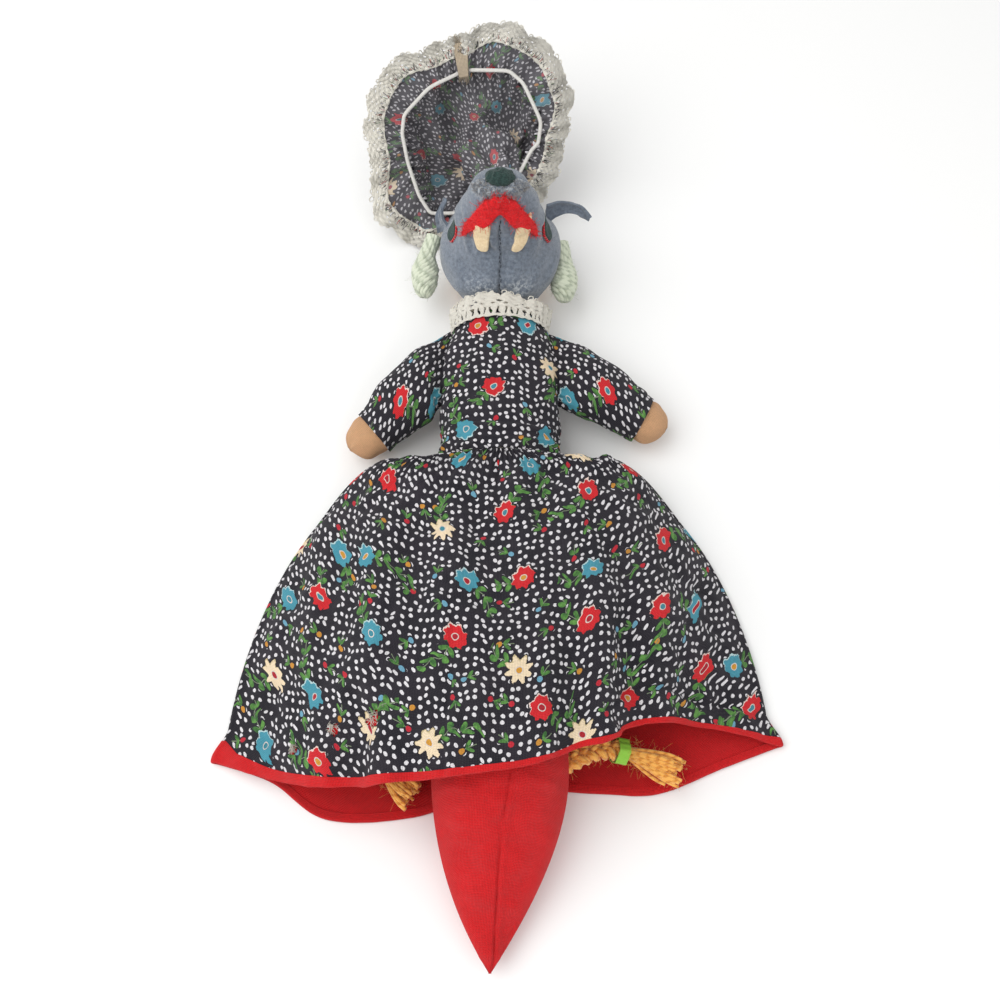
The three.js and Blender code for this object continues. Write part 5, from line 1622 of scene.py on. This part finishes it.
# %% Girl's head and hood
GIRL_HEAD_Y, GIRL_HEAD_Z, HOOD_TIP_Y, HOOD_LOW = 128, 29.2, 244, 2.3
GIRL_WIDE, GIRL_DEEP, HOOD_WIDE, HOOD_DEEP = 30.4, 25.2, 32, 26.8  # half widths and depths
d = GIRL_HEAD_Y - 37 * np.cos(np.linspace(0.08, math.pi - 0.08, 70))
D = d[None]
A = full_turn(100)[:, None]
share = round_end(np.abs(D - GIRL_HEAD_Y) / 37.2)
head = np.stack([GIRL_WIDE * share * np.cos(A), -D + 0 * A,
                 GIRL_HEAD_Z + GIRL_DEEP * share * np.sin(A)], 2)
girl_head = stuffed_piece("girl_head_cotton", head, wrapped(head), PALE_SKIN)
finished(girl_head, "girl_head", "skin_cotton", "girl_head")


def hood_grid(d, inset, columns):
    D, A = np.meshgrid(d, full_turn(columns, FROM_BELOW), indexing="xy")
    past = np.clip((D - 158) / (HOOD_TIP_Y - 158), 0, 0.985)
    neck = np.where(D > GIRL_HEAD_Y, 1, round_end((GIRL_HEAD_Y - D) / 58))
    share = neck * (1 - past**1.85)
    past_head = D - GIRL_HEAD_Y
    to_head = mix(AXIS_Z, GIRL_HEAD_Z, smooth((D - NECK_Y) / (GIRL_HEAD_Y - NECK_Y)))
    height = np.where(
        past_head < 0, to_head, mix(GIRL_HEAD_Z, 9, smooth(past_head / (HOOD_TIP_Y - GIRL_HEAD_Y))))
    wide = HOOD_WIDE * share - inset
    deep = HOOD_DEEP * share * (1 - 0.3 * smooth(past * 1.4)) - inset
    z = np.maximum(HOOD_LOW + inset, height + deep * np.sin(A))
    return np.stack([-4.5 * smooth(past) + wide * np.cos(A), -D, z], 2), A, D


hood_rows = np.concatenate(
    [np.linspace(89.5, 200, 122), HOOD_TIP_Y - 44 * (1 - np.linspace(0, 1, 70)[1:]) ** 1.3 - 0.8])
grid, A, D = hood_grid(hood_rows, 0.2, 260)
top = smooth((np.sin(A) - 0.05) / 0.5)
soft = 0.7 * wrinkles(grid[..., 0], D * 0.6, 30, 101, facing=0.2, spread=0.6) + 0.4 * wrinkles(
    grid[..., 0], D, 10, 102)
seam_x = mix(7.5, -3, smooth((D - 120) / 120)) + 0.5 * np.sin(D / 11)
seam = -1.2 * hump(grid[..., 0] - seam_x, 0.55) + 0.5 * hump(grid[..., 0] - seam_x - 2, 1.4)
slack = smooth((D - 150) / 40) * 0.6 * wrinkles(grid[..., 0], D, 22, 103, facing=1.3, spread=0.4)
grid = pushed(grid, np.clip((soft + seam + slack) * top * smooth((HOOD_TIP_Y - D) / 10), -1.2, 1.6))
grid[..., 2] = np.maximum(grid[..., 2], HOOD_LOW)
under = (grid[..., 2] < 14) & (np.abs(grid[..., 0]) < 11) & (D < 124)
opening = (grid[..., 2] < 14) & ((grid[..., 0] / 19) ** 2 + ((D - 123) / 28) ** 2 < 1)
hood_cloth = sheet_piece(
    "hood_red_cotton", grid, wrapped(grid), RED, 0.5, around=True, keep=~(under | opening))
finished(hood_cloth, "girl_head", "red_cotton", "hood")

# %% [markdown]
# The girl's hair is rust-coloured wool in two braids. Each is three strands that pass over each
# other, tied with a green ribbon, and the ends hang free as a tassel of loose loops.


# %% Braids
BRAID_POINTS, TASSEL_LOOPS = 240, 34
LAST = BRAID_POINTS - 1


def above_table(line, low):
    return np.stack([line[:, 0], line[:, 1], np.maximum(line[:, 2], low)], 1)


def braid(side, points, tie, seed):
    body = "braid_" + side
    line = path(points, BRAID_POINTS)
    total = total_length(line)
    a, b = axes(line)
    rng = np.random.default_rng(seed)
    tied = int(BRAID_POINTS * (tie + 0.03))
    phase = np.linspace(0, 1, BRAID_POINTS) * total / 15 * math.tau
    strands, radii = [], []
    for k in range(3):
        turn = phase + k * math.tau / 3
        middle = line + 2.9 * np.sin(turn)[:, None] * a + 1.6 * np.sin(2 * turn)[:, None] * b
        for m in range(4):
            spin = phase * 1.7 + m * math.tau / 4
            strand = middle + 1.3 * circle(spin, a, b)
            strands.append(strand[:tied])
            radii.append(1.1)
    for _ in range(TASSEL_LOOPS):  # the tassel's loops fold back
        spread = rng.normal(0, 1, 2)
        rows = np.linspace(tied - 4, LAST, 6).astype(int)
        out = np.linspace(1.2, rng.uniform(3.5, 9.6), 6) * np.array([0.6, 0.9, 1, 1, 0.95, 0.8])
        spread = spread / np.linalg.norm(spread) * [1.15, 0.8]
        shrink = rng.uniform(0.72, 1.0)
        rows = (tied - 4 + (rows - tied + 4) * shrink).astype(int)
        strand = [line[r] + o * (spread[0] * a[r] + spread[1] * b[r]) for r, o in zip(rows, out)]
        strands.append(path(np.array(strand), 26))
        radii.append(rng.uniform(0.75, 1.05))
    strands = [above_table(strand, 3.3) for strand in strands]
    made = tubes(body + "_wool", strands, radii, RUST_YARN, sides=8)
    finished(made, body, "rust_yarn", body)
    count = 520
    pick = rng.integers(0, LAST - 1, count)
    turn = rng.uniform(0, math.tau, count)
    ways = circle(turn, a[pick], b[pick])
    reach = np.where(pick < tied, 3.6, 5.4)[:, None]
    hairs = fuzz(line[pick] + reach * ways, ways * 0.5, 1.5, seed + 1, 1.3)
    hairs = [above_table(hair, 3.2) for hair in hairs]
    loose_fibres(body + "_fibres", hairs, 0.055, RUST_YARN, body, "rust_yarn")
    rows = np.linspace(tie - 0.045, tie + 0.045, 14) * LAST
    middle = sampled(rows, np.arange(BRAID_POINTS), line)
    turn, _ = crossed(full_turn(48), rows)
    pick = int(tie * LAST)
    grid = middle + 6.0 * circle(turn, a[pick], b[pick])
    grid = pushed(grid, 0.35 * np.sin(turn * 5 + seed) + 0.2 * np.sin(turn * 11))
    ribbon = sheet_piece("ribbon_" + side + "_satin", grid, wrapped(grid), RIBBON, 0.3, around=True)
    finished(ribbon, body, "green_ribbon", "ribbon_" + side)


braid("left",
      [(-30, -149, 24), (-44, -138, 20), (-60, -137, 12.5), (-63, -147, 10.5), (-52, -156, 10.2),
       (-39.5, -166, 10.2)], 0.72, 111)
braid("right",
      [(29, -154, 25), (46, -146.5, 23), (58, -146.5, 19), (72, -150, 13.5), (87, -156, 10.4)],
      0.47, 112)
